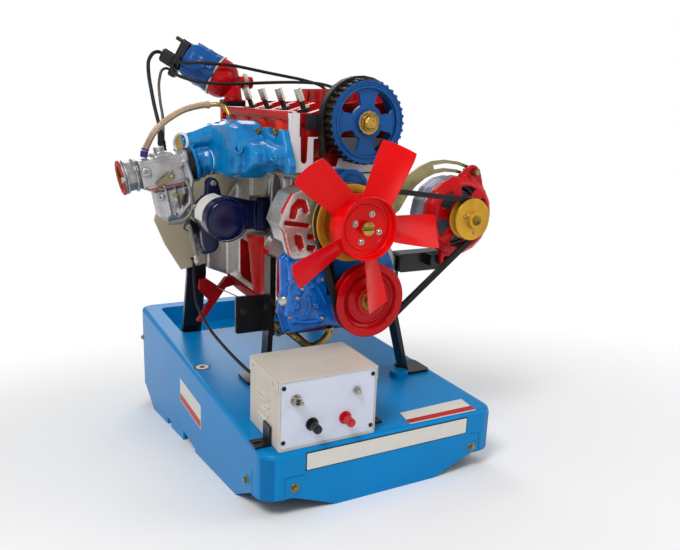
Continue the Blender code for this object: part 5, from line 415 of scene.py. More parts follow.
def socket_bolt(place, name, look, r, body="stand"):
    lathe(group(name, look, body),
          [(0, -0.4), (r * 1.25, -0.4), (r * 1.25, 0.6), (r, 0.7), (r, r * 0.75), (r * 0.88, r * 0.9),
           (r * 0.5, r * 0.9), (r * 0.48, r * 0.2), (0, r * 0.2)], place, 18)


def pan_screw(place, name, look, r):
    lathe(group(name, look),
          [(0, -0.4), (r, -0.4), (r, r * 0.2), (r * 0.85, r * 0.45), (r * 0.5, r * 0.6), (r * 0.28, r * 0.62),
           (r * 0.22, r * 0.25), (0, r * 0.25)], place, 16)


# CAD nodes that show: one finish, or one for each group of faces
def paint(mesh, looks, choose=None):
    # choose(centre, normal) gives the number of the finish, in the deck's frame
    mesh.materials.clear()
    for look in looks:
        mesh.materials.append(M[look])
    if choose:
        for face in mesh.polygons:
            face.material_index = choose(BACK @ face.center, UNTURN @ face.normal)


def dress(names, *looks, choose=None):
    for name in names.split():
        paint(NODES[name].data, looks, choose)


# The free cable from the rear plate to the control box
def add_supply_cable():
    corners = [(50, 505.3, 162), (50, 498.3, 162), (50, 491.3, 162), (44, 472, 128), (37, 430, 92), (31, 340, 76),
               (29, 240, 71), (32, 160, 67), (36, 131, 66), (36, 124, 66), (36, 117, 66)]
    route = [MILLI @ p for p in smooth(corners, 3)]
    data = bpy.data.curves.new("supply_cable_fine", "CURVE")
    data.dimensions = "3D"
    line = data.splines.new("POLY")
    line.points.add(len(route) - 1)
    for point, where in zip(line.points, route):
        point.co = (*where, 1)
    data.bevel_depth = 0.0026
    data.bevel_resolution = 4
    data.use_fill_caps = True
    made = show("supply_cable_fine", data)
    made.data.materials.append(M["rubber"])
    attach(made, "stand")
    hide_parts("supply_cable")


add_supply_cable()

dress("leg_front_left leg_front_right leg_rear_left leg_rear_right box_bracket_left box_bracket_right", "black")
dress("control_box_case", "beige")
dress("indicator_lamp toggle_lever", "chrome")
dress("post_cap_black", "plastic")
dress("post_cap_red", "red_plastic")
dress("crankshaft connecting_rod_1 connecting_rod_2 connecting_rod_3 connecting_rod_4 camshaft", "steel")
dress("piston_1 piston_2 piston_3 piston_4", "alloy")
dress("belt_tensioner", "blue")
dress("oil_pickup_pipe", "gold")
dress("alternator_arm throttle_lever", "zinc")
dress("rear_plate", "cream")
dress("timing_belt fan_belt", "rubber")
dress("carburettor_insulator", "plastic")
dress("oil_pan", "deep_red")


# Inner faces of the shell get the darker blue: painted shade
def inside_base(c, n):
    return 4 < c.x < 396 and c.z < -8 and n.z < 0.5 and 4 < c.y < 761 and not (c.z > -50 and c.y > 538)


dress("base_shell", "base", "base_in", choose=lambda c, n: 1 if inside_base(c, n) else 0)
dress("control_panel", "panel", "chrome", "plastic", "red_plastic",
      choose=lambda c, n: 0 if c.y > 8.9 else (1 if c.z > 55 else (2 if c.x < 100 else 3)))
dress("intake_valve_1 intake_valve_2 intake_valve_3 intake_valve_4", "chrome", "dark_steel",
      choose=lambda c, n: 1 if c.z < 464 else 0)


def axis_distance(c, axis):
    return hypot(c.x - axis[0], c.z - axis[1])


def head_look(c, n):
    if c.x < 118.5 and c.z < 442 and c.y > 176 and (n.x < -0.5 or c.x > 109):
        return 3
    if c.y < 168 and n.y < -0.5:
        return 2
    if c.x > 274 and (n.x > 0.5 or n.z > 0.5):
        return 0
    return 1


def distributor_look(c, n):
    if 149.5 < c.x < 157.5:
        return 1
    return 2 if c.z < 462 else 0


dress("cylinder_head", "cast", "cut_red", "cut_white", "panel_red", choose=head_look)
dress("cam_sprocket", "blue", "dark_steel", "gold",
      choose=lambda c, n: 2 if c.y < 128.5 else (1 if axis_distance(c, CAM_XZ) > 58.5 and abs(n.y) < 0.5 else 0))
for thing in NODES.values():
    thing.data.shade_smooth()
    weld = thing.modifiers.new("weld", "WELD")
    weld.merge_threshold = WELD_REACH
    split = thing.modifiers.new("split", "EDGE_SPLIT")
    split.split_angle = radians(50 if thing.name == "base_shell" else 31)
    thing.modifiers.new("even", "WEIGHTED_NORMAL")


# Castings: each one again with rounded edges, in place of its plain solid
def soften(name, voxel, rounds, looks, choose=None):
    made = show(name + "_cast", NODES[name].data.copy())
    weld = made.modifiers.new("weld", "WELD")
    weld.merge_threshold = WELD_REACH
    grid = made.modifiers.new("grid", "REMESH")
    grid.mode = "VOXEL"
    grid.voxel_size = voxel * MM
    soft = made.modifiers.new("soft", "SMOOTH")
    soft.factor = 0.5
    soft.iterations = rounds
    bpy.context.view_layer.update()
    mesh = bpy.data.meshes.new_from_object(made.evaluated_get(bpy.context.evaluated_depsgraph_get()))
    made.modifiers.clear()
    made.data = mesh
    paint(mesh, looks, choose)
    mesh.shade_smooth()
    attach(made, "stand")
    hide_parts(name)


def carburettor_look(c, n):
    if c.x < -92 and n.x < -0.3 and hypot(c.y - 400, c.z - 336) > 16:
        return 1
    return 2 if c.x < -40 and hypot(c.y - 400, c.z - 336) < 22 else 0


def block_cast_look(c, n):
    # Red where the wall is cut: deep faces of the windows and the lower edge
    if c.z < 130.5 and c.x < 330:
        return 1
    if 122.5 < c.x < 150 and c.z < 214 and 190 < c.y < 500 and not 280 < c.y < 356:
        return 1
    if c.x < 121 and 284 < c.y < 352 and c.z < 243 and abs(n.z) < 0.9 and n.x < 0.9:
        return 1
    return 0


def housing_cast_look(c, n):
    return 1 if 125.8 < c.y < 134 and 76 < c.x < 141 and 246 < c.z < 337 and (n.y > -0.75 or c.y > 129) else 0


soften("intake_manifold", 1.8, 8, ["sky", "gold"], lambda c, n: 1 if c.z > 436.5 and c.x < 92 else 0)
soften("distributor_body", 1.8, 10, ["blue"])
soften("distributor_housing", 1.4, 8, ["red", "cream", "black"], distributor_look)
soften("distributor_cap", 1.2, 2, ["plastic"])
soften("oil_pump_cover", 1.5, 5, ["pump_blue"])
soften("carburettor", 1.2, 3, ["grey", "rust_red", "olive"], carburettor_look)
soften("fuel_pump", 1.4, 4, ["plastic"])
soften("water_pump_housing", 1.3, 3, ["cast", "cut_red"], housing_cast_look)
soften("alternator_front_case", 1.5, 9, ["red"])
soften("alternator_rear_case", 1.6, 9, ["lilac"])
soften("filter_bracket", 1.5, 4, ["navy"])
soften("engine_block", 2.8, 3, ["cast", "cut_red"], block_cast_look)


# Wheels turned finer than their solids
def turn_wheel(name, body, x, z, profile, looks, choose=None):
    bm = bmesh.new()
    lathe(bm, profile, seat(Vector((x, 0, z)), REARWARD), 96)
    made = finish_piece(name + "_turned", bm, looks[0], body)
    paint(made.data, looks, choose)
    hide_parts(name)


def groove(radius):
    root = radius - 8.8
    return [(radius - 0.8, 98.5), (radius, 99.3), (radius, 101.2), (radius - 0.5, 101.9), (root, 104), (root, 111),
            (radius - 0.5, 113.1), (radius, 113.8), (radius, 115.8), (radius - 0.7, 116.5)]


turn_wheel("crank_pulley", "crank_drive", *CRANK_XZ,
           [(0, 99), (22, 99), (22.5, 99.6), (22.5, 104.4), (33, 105.2), (34, 103.8), (36.4, 103.8), (37.4, 105.4),
            (40.2, 107.5), (44, 105), (46.4, 99.4), (47.4, 98.5)] + groove(58.7)
           + [(23, 116.5), (22.5, 117), (22.5, 149), (31, 149), (31.5, 149.5), (31.5, 164.6), (31, 165.1), (15, 165.1),
              (15, 177.1), (0, 177.1)],
           ["red", "dark_steel"], lambda c, n: 1 if c.y > 117.5 else 0)
turn_wheel("water_pump_pulley", "fan_drive", *PUMP_XZ,
           [(0, 97.5), (26, 97.5), (27, 98.5), (30.6, 107.8), (43, 108.3), (44.6, 106), (46, 99), (46.8, 98.5)]
           + groove(57.5) + [(48, 116.5), (46, 115), (44.8, 112.3), (8, 112.3), (8, 144), (0, 144)], ["yellow"])
turn_wheel("alternator_pulley", "alternator_drive", *ALTERNATOR_XZ,
           [(0, 84.5), (5.6, 84.5), (6.4, 85.3), (6.4, 88.5), (12.9, 88.5), (13.7, 89.3), (14.9, 96.9), (15.6, 97.6),
            (30.2, 98.4)] + groove(34.2)
           + [(13, 117), (12.8, 117.6), (8, 119.7), (8, 145), (43, 145.6), (43.5, 146.2), (43.5, 169), (43, 169.3),
              (0, 169.3)],
           ["yellow", "olive", "lilac"],
           lambda c, n: 2 if c.y > 119 else (1 if c.y < 88 and axis_distance(c, ALTERNATOR_XZ) < 6 else 0))
turn_wheel("oil_filter", "stand", *FILTER_XZ,
           [(0, 250.6), (20, 250.9), (27, 251.6), (30.6, 253.2), (32.6, 255.6), (33.6, 258.6), (34, 262), (34, 318),
            (33.4, 320), (31, 321), (31, 326), (0, 326)], ["navy"])


def make_fan():
    # Bowl-shaped hub and five twisted blades
    x, z = PUMP_XZ
    bm = bmesh.new()
    lathe(bm, [(0, 60), (30, 60), (31, 58.8), (33, 58.8), (34, 60), (41.4, 60), (42.9, 58.6), (43, 48.4), (43.6, 47.4),
               (45, 47), (46.1, 47.6), (46.5, 48.6), (46.5, 80.4), (46, 81), (43, 81), (43, 64), (30, 64), (30, 97.2),
               (0, 97.2)], seat(Vector((x, 0, z)), REARWARD), 96)
    for blade in range(5):
        turn = Matrix.Translation((x, 58, z)) @ Matrix.Rotation(-radians(66.5 + 72 * blade), 4, "Y")
        sheets = []
        for face in (-1, 1):
            grid = []
            for i in range(15):
                share = i / 14
                reach = 44.2 + (126.5 - 44.2) * share
                chord = (44 + 11 * share ** 0.8) * (1 - 0.06 * max(0, share - 0.9) / 0.1)
                pitch = radians(42 - 15 * share)
                row = []
                for n in range(11):
                    t = n / 10 - 0.5
                    bow = 4 * (1 - 4 * t * t)
                    thick = 1.25 * face * (1 - 0.55 * (2 * abs(t)) ** 6)
                    side = t * chord * cos(pitch) - bow * sin(pitch) - thick * sin(pitch)
                    deep = t * chord * sin(pitch) + bow * cos(pitch) + thick * cos(pitch)
                    out = sqrt(max(reach ** 2 - side ** 2, 400))
                    row.append(bm.verts.new(turn @ Vector((out, deep, side))))
                grid.append(row)
            sheets.append(grid)
            for i in range(14):
                for n in range(10):
                    bm.faces.new((grid[i][n], grid[i][n + 1], grid[i + 1][n + 1], grid[i + 1][n]))
        low, high = sheets
        for i in range(14):
            for n in (0, 10):
                bm.faces.new((low[i][n], low[i + 1][n], high[i + 1][n], high[i][n]))
        for i in (0, 14):
            for n in range(10):
                bm.faces.new((low[i][n], low[i][n + 1], high[i][n + 1], high[i][n]))
    made = finish_piece("fan_turned", bm, "fan", "fan_drive")
    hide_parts("fan")


make_fan()


# Leads, cables and hose, finer than the solids they stand for
def distributor_place():
    aim = Vector((-0.75, 0.42, 0.47)).normalized()
    near = Vector(UPWARD).cross(aim).normalized()
    place = Matrix((near, aim.cross(near), aim)).transposed().to_4x4()
    place.translation = DISTRIBUTOR + aim * 96.6
    return place


def add_cables():
    place = distributor_place()
    aim, near = place.col[2].to_3d(), place.col[0].to_3d()
    r = 37
    plug = Vector((0.86, 0, 0.5)).normalized()
    lead_1 = [(20, 494, 507), (40, 464, 496), (80, 450, 491), (130, 450, 493), (180, 453, 497), (229, 455, 500),
              (268, 458, 501), (290, 442, 499), (308, 416, 490), (318, 396, 470)]
    lead_2 = [(36, 488, 524), (60, 466, 526), (90, 460, 525), (120, 460, 524), (188, 462, 515), (230, 466, 510),
              (262, 470, 506), (300, 474, 498), (316, 472, 486), (324, 466, 472)]
    for name, y, first, route in (("plug_lead_1", 378, Vector((r * 0.5, -r * 0.62, r * 0.26)), lead_1),
                                  ("plug_lead_2", 454, Vector((r * 0.5, -r * 0.25, r * 0.2)), lead_2)):
        low = Vector((290, y, 424.94))
        start = place @ first
        points = [start, start + near * 8] + [Vector(p) for p in route] + [low + plug * 50, low + plug * 30]
        bm = bmesh.new()
        tube(bm, smooth(points, 5), 2.9, 12)
        boot = seat(low + plug * 5.7, plug)
        lathe(bm, [(0, 0), (9.1, 0), (9.2, 3), (8.2, 5), (8.2, 12), (6.8, 14), (5.4, 28), (4.2, 31), (0, 31)], boot, 18)
        cuff = seat(start - near * 2, near)
        lathe(bm, [(0, 0), (4.8, 0), (4.8, 6), (3.6, 11), (0, 11)], cuff, 14)
        piece = finish_piece(name + "_fine", bm, "rubber")
        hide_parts(name)
    boot = seat(Vector((-14, 452, 372)), Vector((-0.1, 0, 1)))
    bm = bmesh.new()
    ribs = [(0, 0), (7, 0), (7.4, 4), (6.6, 6), (7.5, 9), (6.6, 12), (7.4, 15), (6.2, 19), (5.6, 27), (4.6, 34),
            (0, 34)]
    lathe(bm, ribs, boot, 18)
    first = place @ Vector((0, -r * 0.47, r * 1.1))
    points = [first, first + aim * 9, (-4, 546, 541), (-17, 526, 526), (-22, 506, 503), (-22, 490, 476),
              (-20, 475, 445), (-16, 460, 412), (-15, 452, 392)]
    tube(bm, smooth(points, 5), 3.3, 12)
    piece = finish_piece("ignition_cable_fine", bm, "rubber")
    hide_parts("ignition_cable")
    bm = bmesh.new()
    first = place @ Vector((0, -r * 0.97, r * 0.4))
    points = [first, first + aim * 9, (9, 536, 512), (-1, 512, 500), (-8, 492, 482), (-10, 476, 455),
              (-9, 466, 432), (-11, 456, 408), (-13, 452, 388)]
    tube(bm, smooth(points, 5), 2.5, 12)
    finish_piece("thin_cable", bm, "brown_rubber")
    route = smooth([(-60, 392, 366), (-56, 392, 382), (-36, 394, 414), (0, 398, 440), (30, 398, 451),
                    (55, 396.8, 455)], 7)
    bm = bmesh.new()
    tube(bm, route, 5.4, 16)
    lathe(bm, [(0, -2), (6.2, -2), (6.4, 0), (6.4, 2), (0, 2)], seat(route[-1], (1, 0, 0.2), -4), 16)
    piece = finish_piece("fuel_hose_fine", bm, "hose")
    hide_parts("fuel_hose")
    bm = group("hose_lines", "hose_line")
    for offset in (Vector((-2.2, -4.6, 1.2)), Vector((1.6, -4.9, -1.6))):
        tube(bm, [p + offset for p in route[2:-2]], 0.55, 6)
    bm = group("hose_clamp", "violet")
    lathe(bm, [(0, 0), (6.3, 0), (6.3, 9), (0, 9)], seat(route[3], route[4] - route[2], -3), 18)
    lathe(bm, [(0, 0), (6.6, 0), (6.6, 2), (0, 2)], seat(route[5], route[6] - route[4], 3), 18)


add_cables()


def add_distributor_details():
    aim = distributor_place().col[2].to_3d()
    place = seat(DISTRIBUTOR, aim)
    lathe(group("distributor_dome", "red"),
          [(0, -5), (13, -4), (22, 0), (29, 6), (33.6, 13), (36, 21), (36.6, 29), (36, 33.4), (33, 34.6), (0, 34.6)],
          place, 64)
    ring("distributor_seam", "cream",
         [(33, 33), (37.6, 33), (38, 34.6), (37.6, 36.4), (33, 36.4)], place, 48)
    for turn in range(6):
        angle = radians(60 * turn + 20)
        foot = place @ Vector((34 * cos(angle), 34 * sin(angle), 40))
        head = place @ Vector((33.0 * cos(angle), 33.0 * sin(angle), 88))
        tube(group("distributor_ribs", "blue"), smooth([foot, foot.lerp(head, 0.5), head], 3), 2.4, 10)


add_distributor_details()


# Fan, wheels and pulleys
def add_wheels():
    for u, v in ((372, 214), (355, 224), (379, 232), (361, 242)):
        socket_bolt(seat_at("fan", u, v), "fan_bolts", "chrome", 3.9, "fan_drive")
    where, _ = cast("fan", (176, 0, 295), REARWARD)
    place = seat(where, FORWARD)
    lathe(group("fan_nut", "olive", "fan_drive"), [(0, -0.3), (9.6, -0.3), (9.6, 1.2), (0, 1.2)], place, 24)
    for side in (-1, 1):
        half = [(10 * cos(a), 10 * sin(a)) for a in
                [radians(16 + 148 * i / 10 + (0 if side > 0 else 180)) for i in range(11)]]
        slab(group("fan_nut_halves", "gold", "fan_drive"), half, 1.2, 4.6, place)
    # Camshaft wheel: groove ring, washer and bolt
    place = on_axis(CAM_XZ, 131)
    ring("cam_wheel_ring", "blue",
         [(49.5, -0.4), (53.5, -0.4), (53, 0.9), (50, 0.9)], place, 72, "camshaft")
    ring("cam_wheel_edge", "blue",
         [(57.6, -0.4), (60.2, -0.4), (60, 1.2), (58, 1.2)], place, 72, "camshaft")
    where, _ = cast("cam_sprocket", (214 + 15, 60, 439), REARWARD)
    place = on_axis(CAM_XZ, where.y)
    lathe(group("cam_washer", "gold", "camshaft"),
          [(0, -0.2), (13.4, -0.2), (13.4, 2.2), (12.6, 2.8), (0, 2.8)], place, 32)
    where, _ = cast("cam_sprocket", (214, 60, 439), REARWARD)
    place = seat(where, FORWARD, -6)
    lathe(group("cam_bolt", "gold", "camshaft"),
          [(0, 0), (10.4, 0), (10.4, 6.6), (9.2, 8), (5.4, 8), (5, 7), (0, 7)], place, 6)
    # Crank pulley: washer and nut
    place = on_axis(CRANK_XZ, 98.6)
    lathe(group("crank_washer", "olive", "crank_drive"), [(0, -1), (16, -1), (16, 1), (15, 2), (0, 2)], place, 32)
    lathe(group("crank_nut", "gold", "crank_drive"),
          [(0, 1), (11.5, 1), (11.5, 7), (10, 8.4), (6, 8.4), (6, 6.4), (0, 6.4)], place, 6)
    # Alternator pulley: rings on the boss, and two bolts
    place = on_axis(ALTERNATOR_XZ, 88.6)
    lathe(group("alternator_boss", "gold", "alternator_drive"),
          [(0, -0.4), (8.4, -0.4), (8.4, 0.8), (5.4, 0.8), (5.2, 0), (3.4, 0), (3.2, 1), (0, 1)], place, 28)
    for u, v in ((465, 217), (474, 233)):
        hex_bolt(seat_at("alternator_pulley", u, v), "alternator_screws", "steel", 2.6, "alternator_drive", False)
    # Tensioner: a ring on its disc
    where, _ = cast("belt_tensioner", (184.5 + 9, 60, 344), REARWARD)
    place = on_axis(TENSIONER_XZ, where.y)
    ring("tensioner_ring", "blue",
         [(20, -0.4), (23, -0.4), (22.6, 0.9), (20.4, 0.9)], place, 40, "tensioner")


add_wheels()


# Plugs in the round recesses of the block's right side
def add_core_plugs():
    for y in BORES[::2]:
        lathe(group("core_plugs", "zinc"),
              [(0, -0.5), (15.4, -0.5), (15.4, 1.2), (14, 1.8), (12.5, 0.4), (0, 0.4)],
              seat(Vector((287.7, y, 282.2)), RIGHTWARD), 32)


# Head: cut edges, springs, ring behind the wheel
def add_head_details():
    # White cut edge of the left wall, drawn in depth and height
    outline = [(167, 362.6), (180.5, 362.6), (178.6, 376), (177.6, 400), (177.6, 440), (180, 446), (180, 448.8),
               (167, 448.8)]
    slab(group("head_cut_edge", "cut_white"), outline, -106.9, -105.6, SIDE_ON)
    # A dark purple sheet over the front opening, painted shade of the hollow behind it, and the polished ring round the
    # camshaft
    low = across(305, 130, 1, 166.5)
    high = across(318, 108, 1, 166.5)
    top = min(high.z, 448)
    slab(group("head_shade_sheet", "shadow"),
         [(low.x + 1, low.z), (high.x, low.z), (high.x, top), (low.x + 1, top)], -167.2, -166.4, FRONT_ON)
    middle = across(331, 120.5, 1, 166.5)
    arc = []
    for radius, order in ((17, range(15)), (12.5, range(14, -1, -1))):
        for i in order:
            angle = radians(100 + 160 * i / 14)
            arc.append((middle.x + radius * cos(angle), middle.z + radius * sin(angle)))
    slab(group("head_front_ring", "steel"), arc, -167.6, -160, FRONT_ON)
    # Rounded humps of the left wall over the combustion chambers
    for y in BORES:
        where, _ = cast("cylinder_head", (60, y, 428), RIGHTWARD)
        hump = [Vector((where.x + 5, y, z)) for z in (438, 430, 416, 402, 390)]
        tube(group("head_humps", "panel_red"), smooth(hump, 4), [7] + [13] * 15 + [9], 20)
    # Springs of all eight valves
    for y in BORES:
        for foot_x, tip_x, shift in ((188, 140, -13), (240, 264, 13)):
            foot = Vector((foot_x, y + shift, 362))
            up = (Vector((tip_x, y + shift, 486)) - foot).normalized()
            coil(group("valve_springs", "dark_steel"), foot + up * 62, up, 9.2, 1.3, 4, 26)
    for u, v, look, r in ((314, 154, "gold", 3.6), (325.5, 149, "plastic", 4.0)):
        hex_bolt(seat_at("cylinder_head", u, v), "head_bolt_" + look, look, r)


add_head_details()
add_core_plugs()


# Manifold: neck ring, screw holes with painted shade in them, nuts, and a pale arc painted as the highlight on the
# flange rim
def add_manifold_details():
    along = (Vector((66, 372, 412)) - Vector((14, 408, 389))).normalized()
    mouth = Vector((14, 408, 389))
    facing = Vector((-0.85, -0.5, 0.14)).normalized()
    route = smooth([mouth + along * 16, mouth + along * 8, mouth + facing * 1.5, mouth + facing * 8], 5)
    tube(group("neck_end", "sky"), route, [15.6 + 1.6 * i / 15 for i in range(16)], 36)
    place = seat(mouth + facing * 8, facing)
    ring("neck_ring", "cut_white",
         [(12.2, -0.6), (17.6, -0.6), (17.6, 2.5), (16.4, 4), (14, 4), (13, 3)], place, 48)
    lathe(group("neck_lining", "throat"), [(0, 1.3), (10, 1.4), (12.6, 2.0), (13.4, 3.2), (13, 0.2), (0, 0.2)],
          place, 36)
    for u, v, r in ((238.3, 148.6, 5.0), (274, 156.6, 3.6)):
        place = seat_at("intake_manifold", u, v, (-0.75, -0.6, 0.25), -2.5)
        ring("manifold_rings", "sky",
             [(r, -5), (r + 3.6, -5), (r + 3.6, 2.6), (r + 2.4, 3.8), (r + 0.8, 3.8), (r, 3.0)], place, 32)
        # A black plug fills each hole: painted shade of the hole's depth
        lathe(group("manifold_holes", "ink_and_hole_shade"), [(0, -4), (r + 0.2, -4), (r + 0.2, 1.2), (0, 1.2)], place, 24)
        lathe(group("manifold_screws", "steel"), [(0, 1), (r * 0.4, 1), (r * 0.4, 2.2), (0, 2.5)],
              place @ Matrix.Translation((r * 0.2, r * 0.1, 0)), 12)
    for u, v in ((259, 132.5), (277, 133)):
        place = seat_at("intake_manifold", u, v, (-0.7, -0.2, 0.7), -1)
        lathe(group("manifold_studs", "gold"), [(0, 0), (2.4, 0), (2.4, 9), (1.8, 10), (0, 10)], place, 12)
        lathe(group("manifold_nuts", "gold"), [(0, 0), (5, 0), (5, 4), (4.2, 5), (0, 5)], place, 6)
    # A pale line along the flange rim: painted highlight
    line = [spot("intake_manifold", u, v)[0] + Vector((-0.5, -0.3, 0)) for u, v in
            ((210.5, 150), (213, 155), (214.2, 160), (214.2, 166), (212.6, 171), (210.5, 174))]
    tube(group("manifold_rim_highlight", "cut_white"), smooth(line, 4), 0.8, 8)


add_manifold_details()


# Carburettor: throat, gasket, screws, bosses, spring and vent
def add_carburettor_details():
    turn = Matrix.Rotation(-radians(11), 4, "Y")
    tilt = Matrix.Translation(CARBURETTOR) @ turn @ Matrix.Translation(-CARBURETTOR)
    horn = tilt @ seat(Vector((-99, 400, 355)), LEFTWARD)
    ring("throat_ring", "rust_red",
         [(20.4, -1.2), (28.9, -1.2), (28.9, 0.6), (27.6, 1.8), (23, 1.8), (20.6, 0.6)], horn, 40)
    ring("throat_lining", "olive",
         [(19.6, -24), (20.8, -24), (21.4, 0.4), (20.6, 0.4)], horn, 36)
    # Gasket between the body and the bowl
    slab(group("bowl_gasket", "rust_red"), rounded(-65.6, 367.5, 4, 432.5, 5), 330.1, 332.1, tilt)
    for u, v, r in ((150, 176, 3.0), (164, 186, 2.6), (181, 167, 2.8), (171, 172, 3.4), (158, 207, 2.4),
                    (176, 214, 2.4), (186, 188, 2.4), (144, 196, 2.2), (168, 200, 2.2)):
        pan_screw(seat(*spot("carburettor", u, v)), "carburettor_screws", "chrome", r)
    for u, v in ((156, 191), (176, 195)):
        hex_bolt(seat(*spot("carburettor", u, v)), "carburettor_jets", "gold", 2.6)
    for x, r in ((-92, 27.6), (-76, 27.2)):
        place = tilt @ seat(Vector((x, 400, 355)), LEFTWARD)
        ring("horn_bands", "grey",
             [(r - 3, -1.6), (r, -1.6), (r + 0.8, 0), (r, 1.6), (r - 3, 1.6)], place, 40)
    for u, v, r, reach in ((146, 172, 7.5, 5), (162, 197, 5.5, 4), (176, 205, 5, 4), (150, 200, 5, 4)):
        lathe(group("carburettor_bosses", "grey"),
              [(0, -2), (r, -2), (r, reach * 0.7), (r * 0.8, reach), (r * 0.45, reach), (r * 0.4, reach * 0.4),
               (0, reach * 0.4)], seat(*spot("carburettor", u, v)), 24)
    foot, _ = spot("carburettor", 184, 204)
    coil(group("carburettor_spring", "dark_steel"), foot + Vector((-2, -5, 0)), Vector((0.2, 0, 1)), 2.6, 0.7, 8, 18)
    pipe = [spot("carburettor", u, v)[0] + Vector((-0.5, -2.5, 0)) for u, v in ((186, 180), (190, 190))]
    route = pipe + [across(u, v, 1, y) for u, v, y in ((193, 203, 356), (190, 214, 354), (181, 222, 352),
                                                       (168, 223, 352))]
    tube(group("carburettor_vent", "grey_tube"), smooth(route, 5), 2.9, 12)


add_carburettor_details()


# Bolts of the rear plate
def add_rear_details():
    for x, z in ((20, 300), (70, 352), (150, 364), (250, 364), (318, 340), (340, 262), (318, 180), (60, 200)):
        start = (x, 620, z)
        where, _, _, _ = tree_of("rear_plate").ray_cast(Vector(start), Vector(FORWARD))
        if where is not None:
            hex_bolt(seat(where, REARWARD), "rear_bolts", "dark_steel", 5)


add_rear_details()


# Filter, fuel pump, pump cover and legs
def add_left_side_details():
    # A bare label round the can
    bm = group("filter_label", "label")
    quads = []
    for i in range(17):
        angle = radians(92 + 96 * i / 16)
        row = []
        for radius in (33.9, 34.5):
            for y in (278, 318):
                row.append(bm.verts.new(Vector((FILTER_XZ[0] + radius * cos(angle), y,
                                                FILTER_XZ[1] + radius * sin(angle)))))
        quads.append(row)
    for a, b in zip(quads, quads[1:]):
        bm.faces.new((a[2], a[3], b[3], b[2]))
        bm.faces.new((a[0], b[0], b[1], a[1]))
        bm.faces.new((a[0], a[2], b[2], b[0]))
        bm.faces.new((a[1], b[1], b[3], a[3]))
    bm.faces.new((quads[0][0], quads[0][1], quads[0][3], quads[0][2]))
    bm.faces.new((quads[-1][0], quads[-1][2], quads[-1][3], quads[-1][1]))
    ring("filter_seam", "navy",
         [(33.6, -1), (35.2, -1), (35.2, 1), (33.6, 1)], on_axis(FILTER_XZ, 254), 48)
    for u, v in ((213.6, 183.4), (197.4, 236.4)):
        socket_bolt(seat_at("filter_bracket", u, v), "filter_bolts", "chrome", 4.2)
    # Fuel pump: pale patch, tube and fitting
    slab(group("fuel_pump_patch", "cream"), rounded(-5, -4, 5, 4, 1.6), -0.5, 0.6,
         seat(*spot("fuel_pump", 173, 230)))
    start, _ = spot("fuel_pump", 182, 239)
    end = across(197, 258, 1, start.y - 6)
    tube(group("fuel_tube", "grey_tube"), smooth([start, start + Vector((2, -5, -2)), end], 5), 3.6, 12)
    place = seat(end, (end - start).normalized())
    lathe(group("fuel_fitting", "chrome"),
          [(0, -6), (5.4, -6), (5.6, 0), (6.4, 1), (6.4, 8), (3, 9), (0, 9)], place, 6)
    # Cover of the oil pump
    for u, v in ((292, 281), (302, 289), (297.6, 298), (323, 280), (314, 274), (322, 318), (290, 318)):
        socket_bolt(seat_at("oil_pump_cover", u, v), "cover_screws", "chrome", 2.5)
    for pixels in (((288, 262), (292, 276), (290, 292), (293, 312)), ((300, 266), (306, 280), (318, 288), (326, 304)),
                   ((286, 316), (300, 322), (318, 321)), ((308, 296), (310, 306), (306, 316)),
                   ((311, 262), (318, 270), (325, 270))):
        rib = [spot("oil_pump_cover", u, v)[0] for u, v in pixels]
        tube(group("cover_ribs", "pump_blue"), smooth(rib, 5), 3.2, 12)
    for u, v, r in ((304, 272, 5.5), (296, 306, 6.5), (316, 306, 5), (312, 286, 4.5), (289, 284, 4)):
        lathe(group("cover_bosses", "pump_blue"),
              [(0, -2), (r + 1.5, -2), (r, 1.5), (r * 0.8, 3), (r * 0.4, 3.4), (r * 0.3, 2.4), (0, 2.4)],
              seat_at("oil_pump_cover", u, v, (-0.25, -0.96, 0.1)), 20)
    lathe(group("cover_dome", "cast"), [(0, -1), (9, -1), (9.4, 2), (7.6, 5.4), (4, 7.4), (0, 8)],
          seat_at("oil_pump_cover", 284.5, 301, (-0.5, -0.86, 0)), 24)
    # Bolts of the legs and the angle plate
    for u, v in ((243.6, 312.4), (267.6, 308)):
        hex_bolt(seat_at("leg_front_left", u, v), "leg_bolts", "dark_steel", 4.4)
    # Gold and pale edges of the red web under the block
    for name, look, radius, pixels in (("web_edge_gold", "gold", 1.0,
                                        ((210, 279), (216, 287), (224, 294), (233, 299))),
                                       ("web_edge_white", "cut_white", 0.7, ((229, 303), (223, 311), (217, 320)))):
        edge = [spot("oil_pan", u, v)[0] + Vector((-0.4, -0.4, 0.2)) for u, v in pixels]
        tube(group(name, look), smooth(edge, 4), radius, 8)


add_left_side_details()


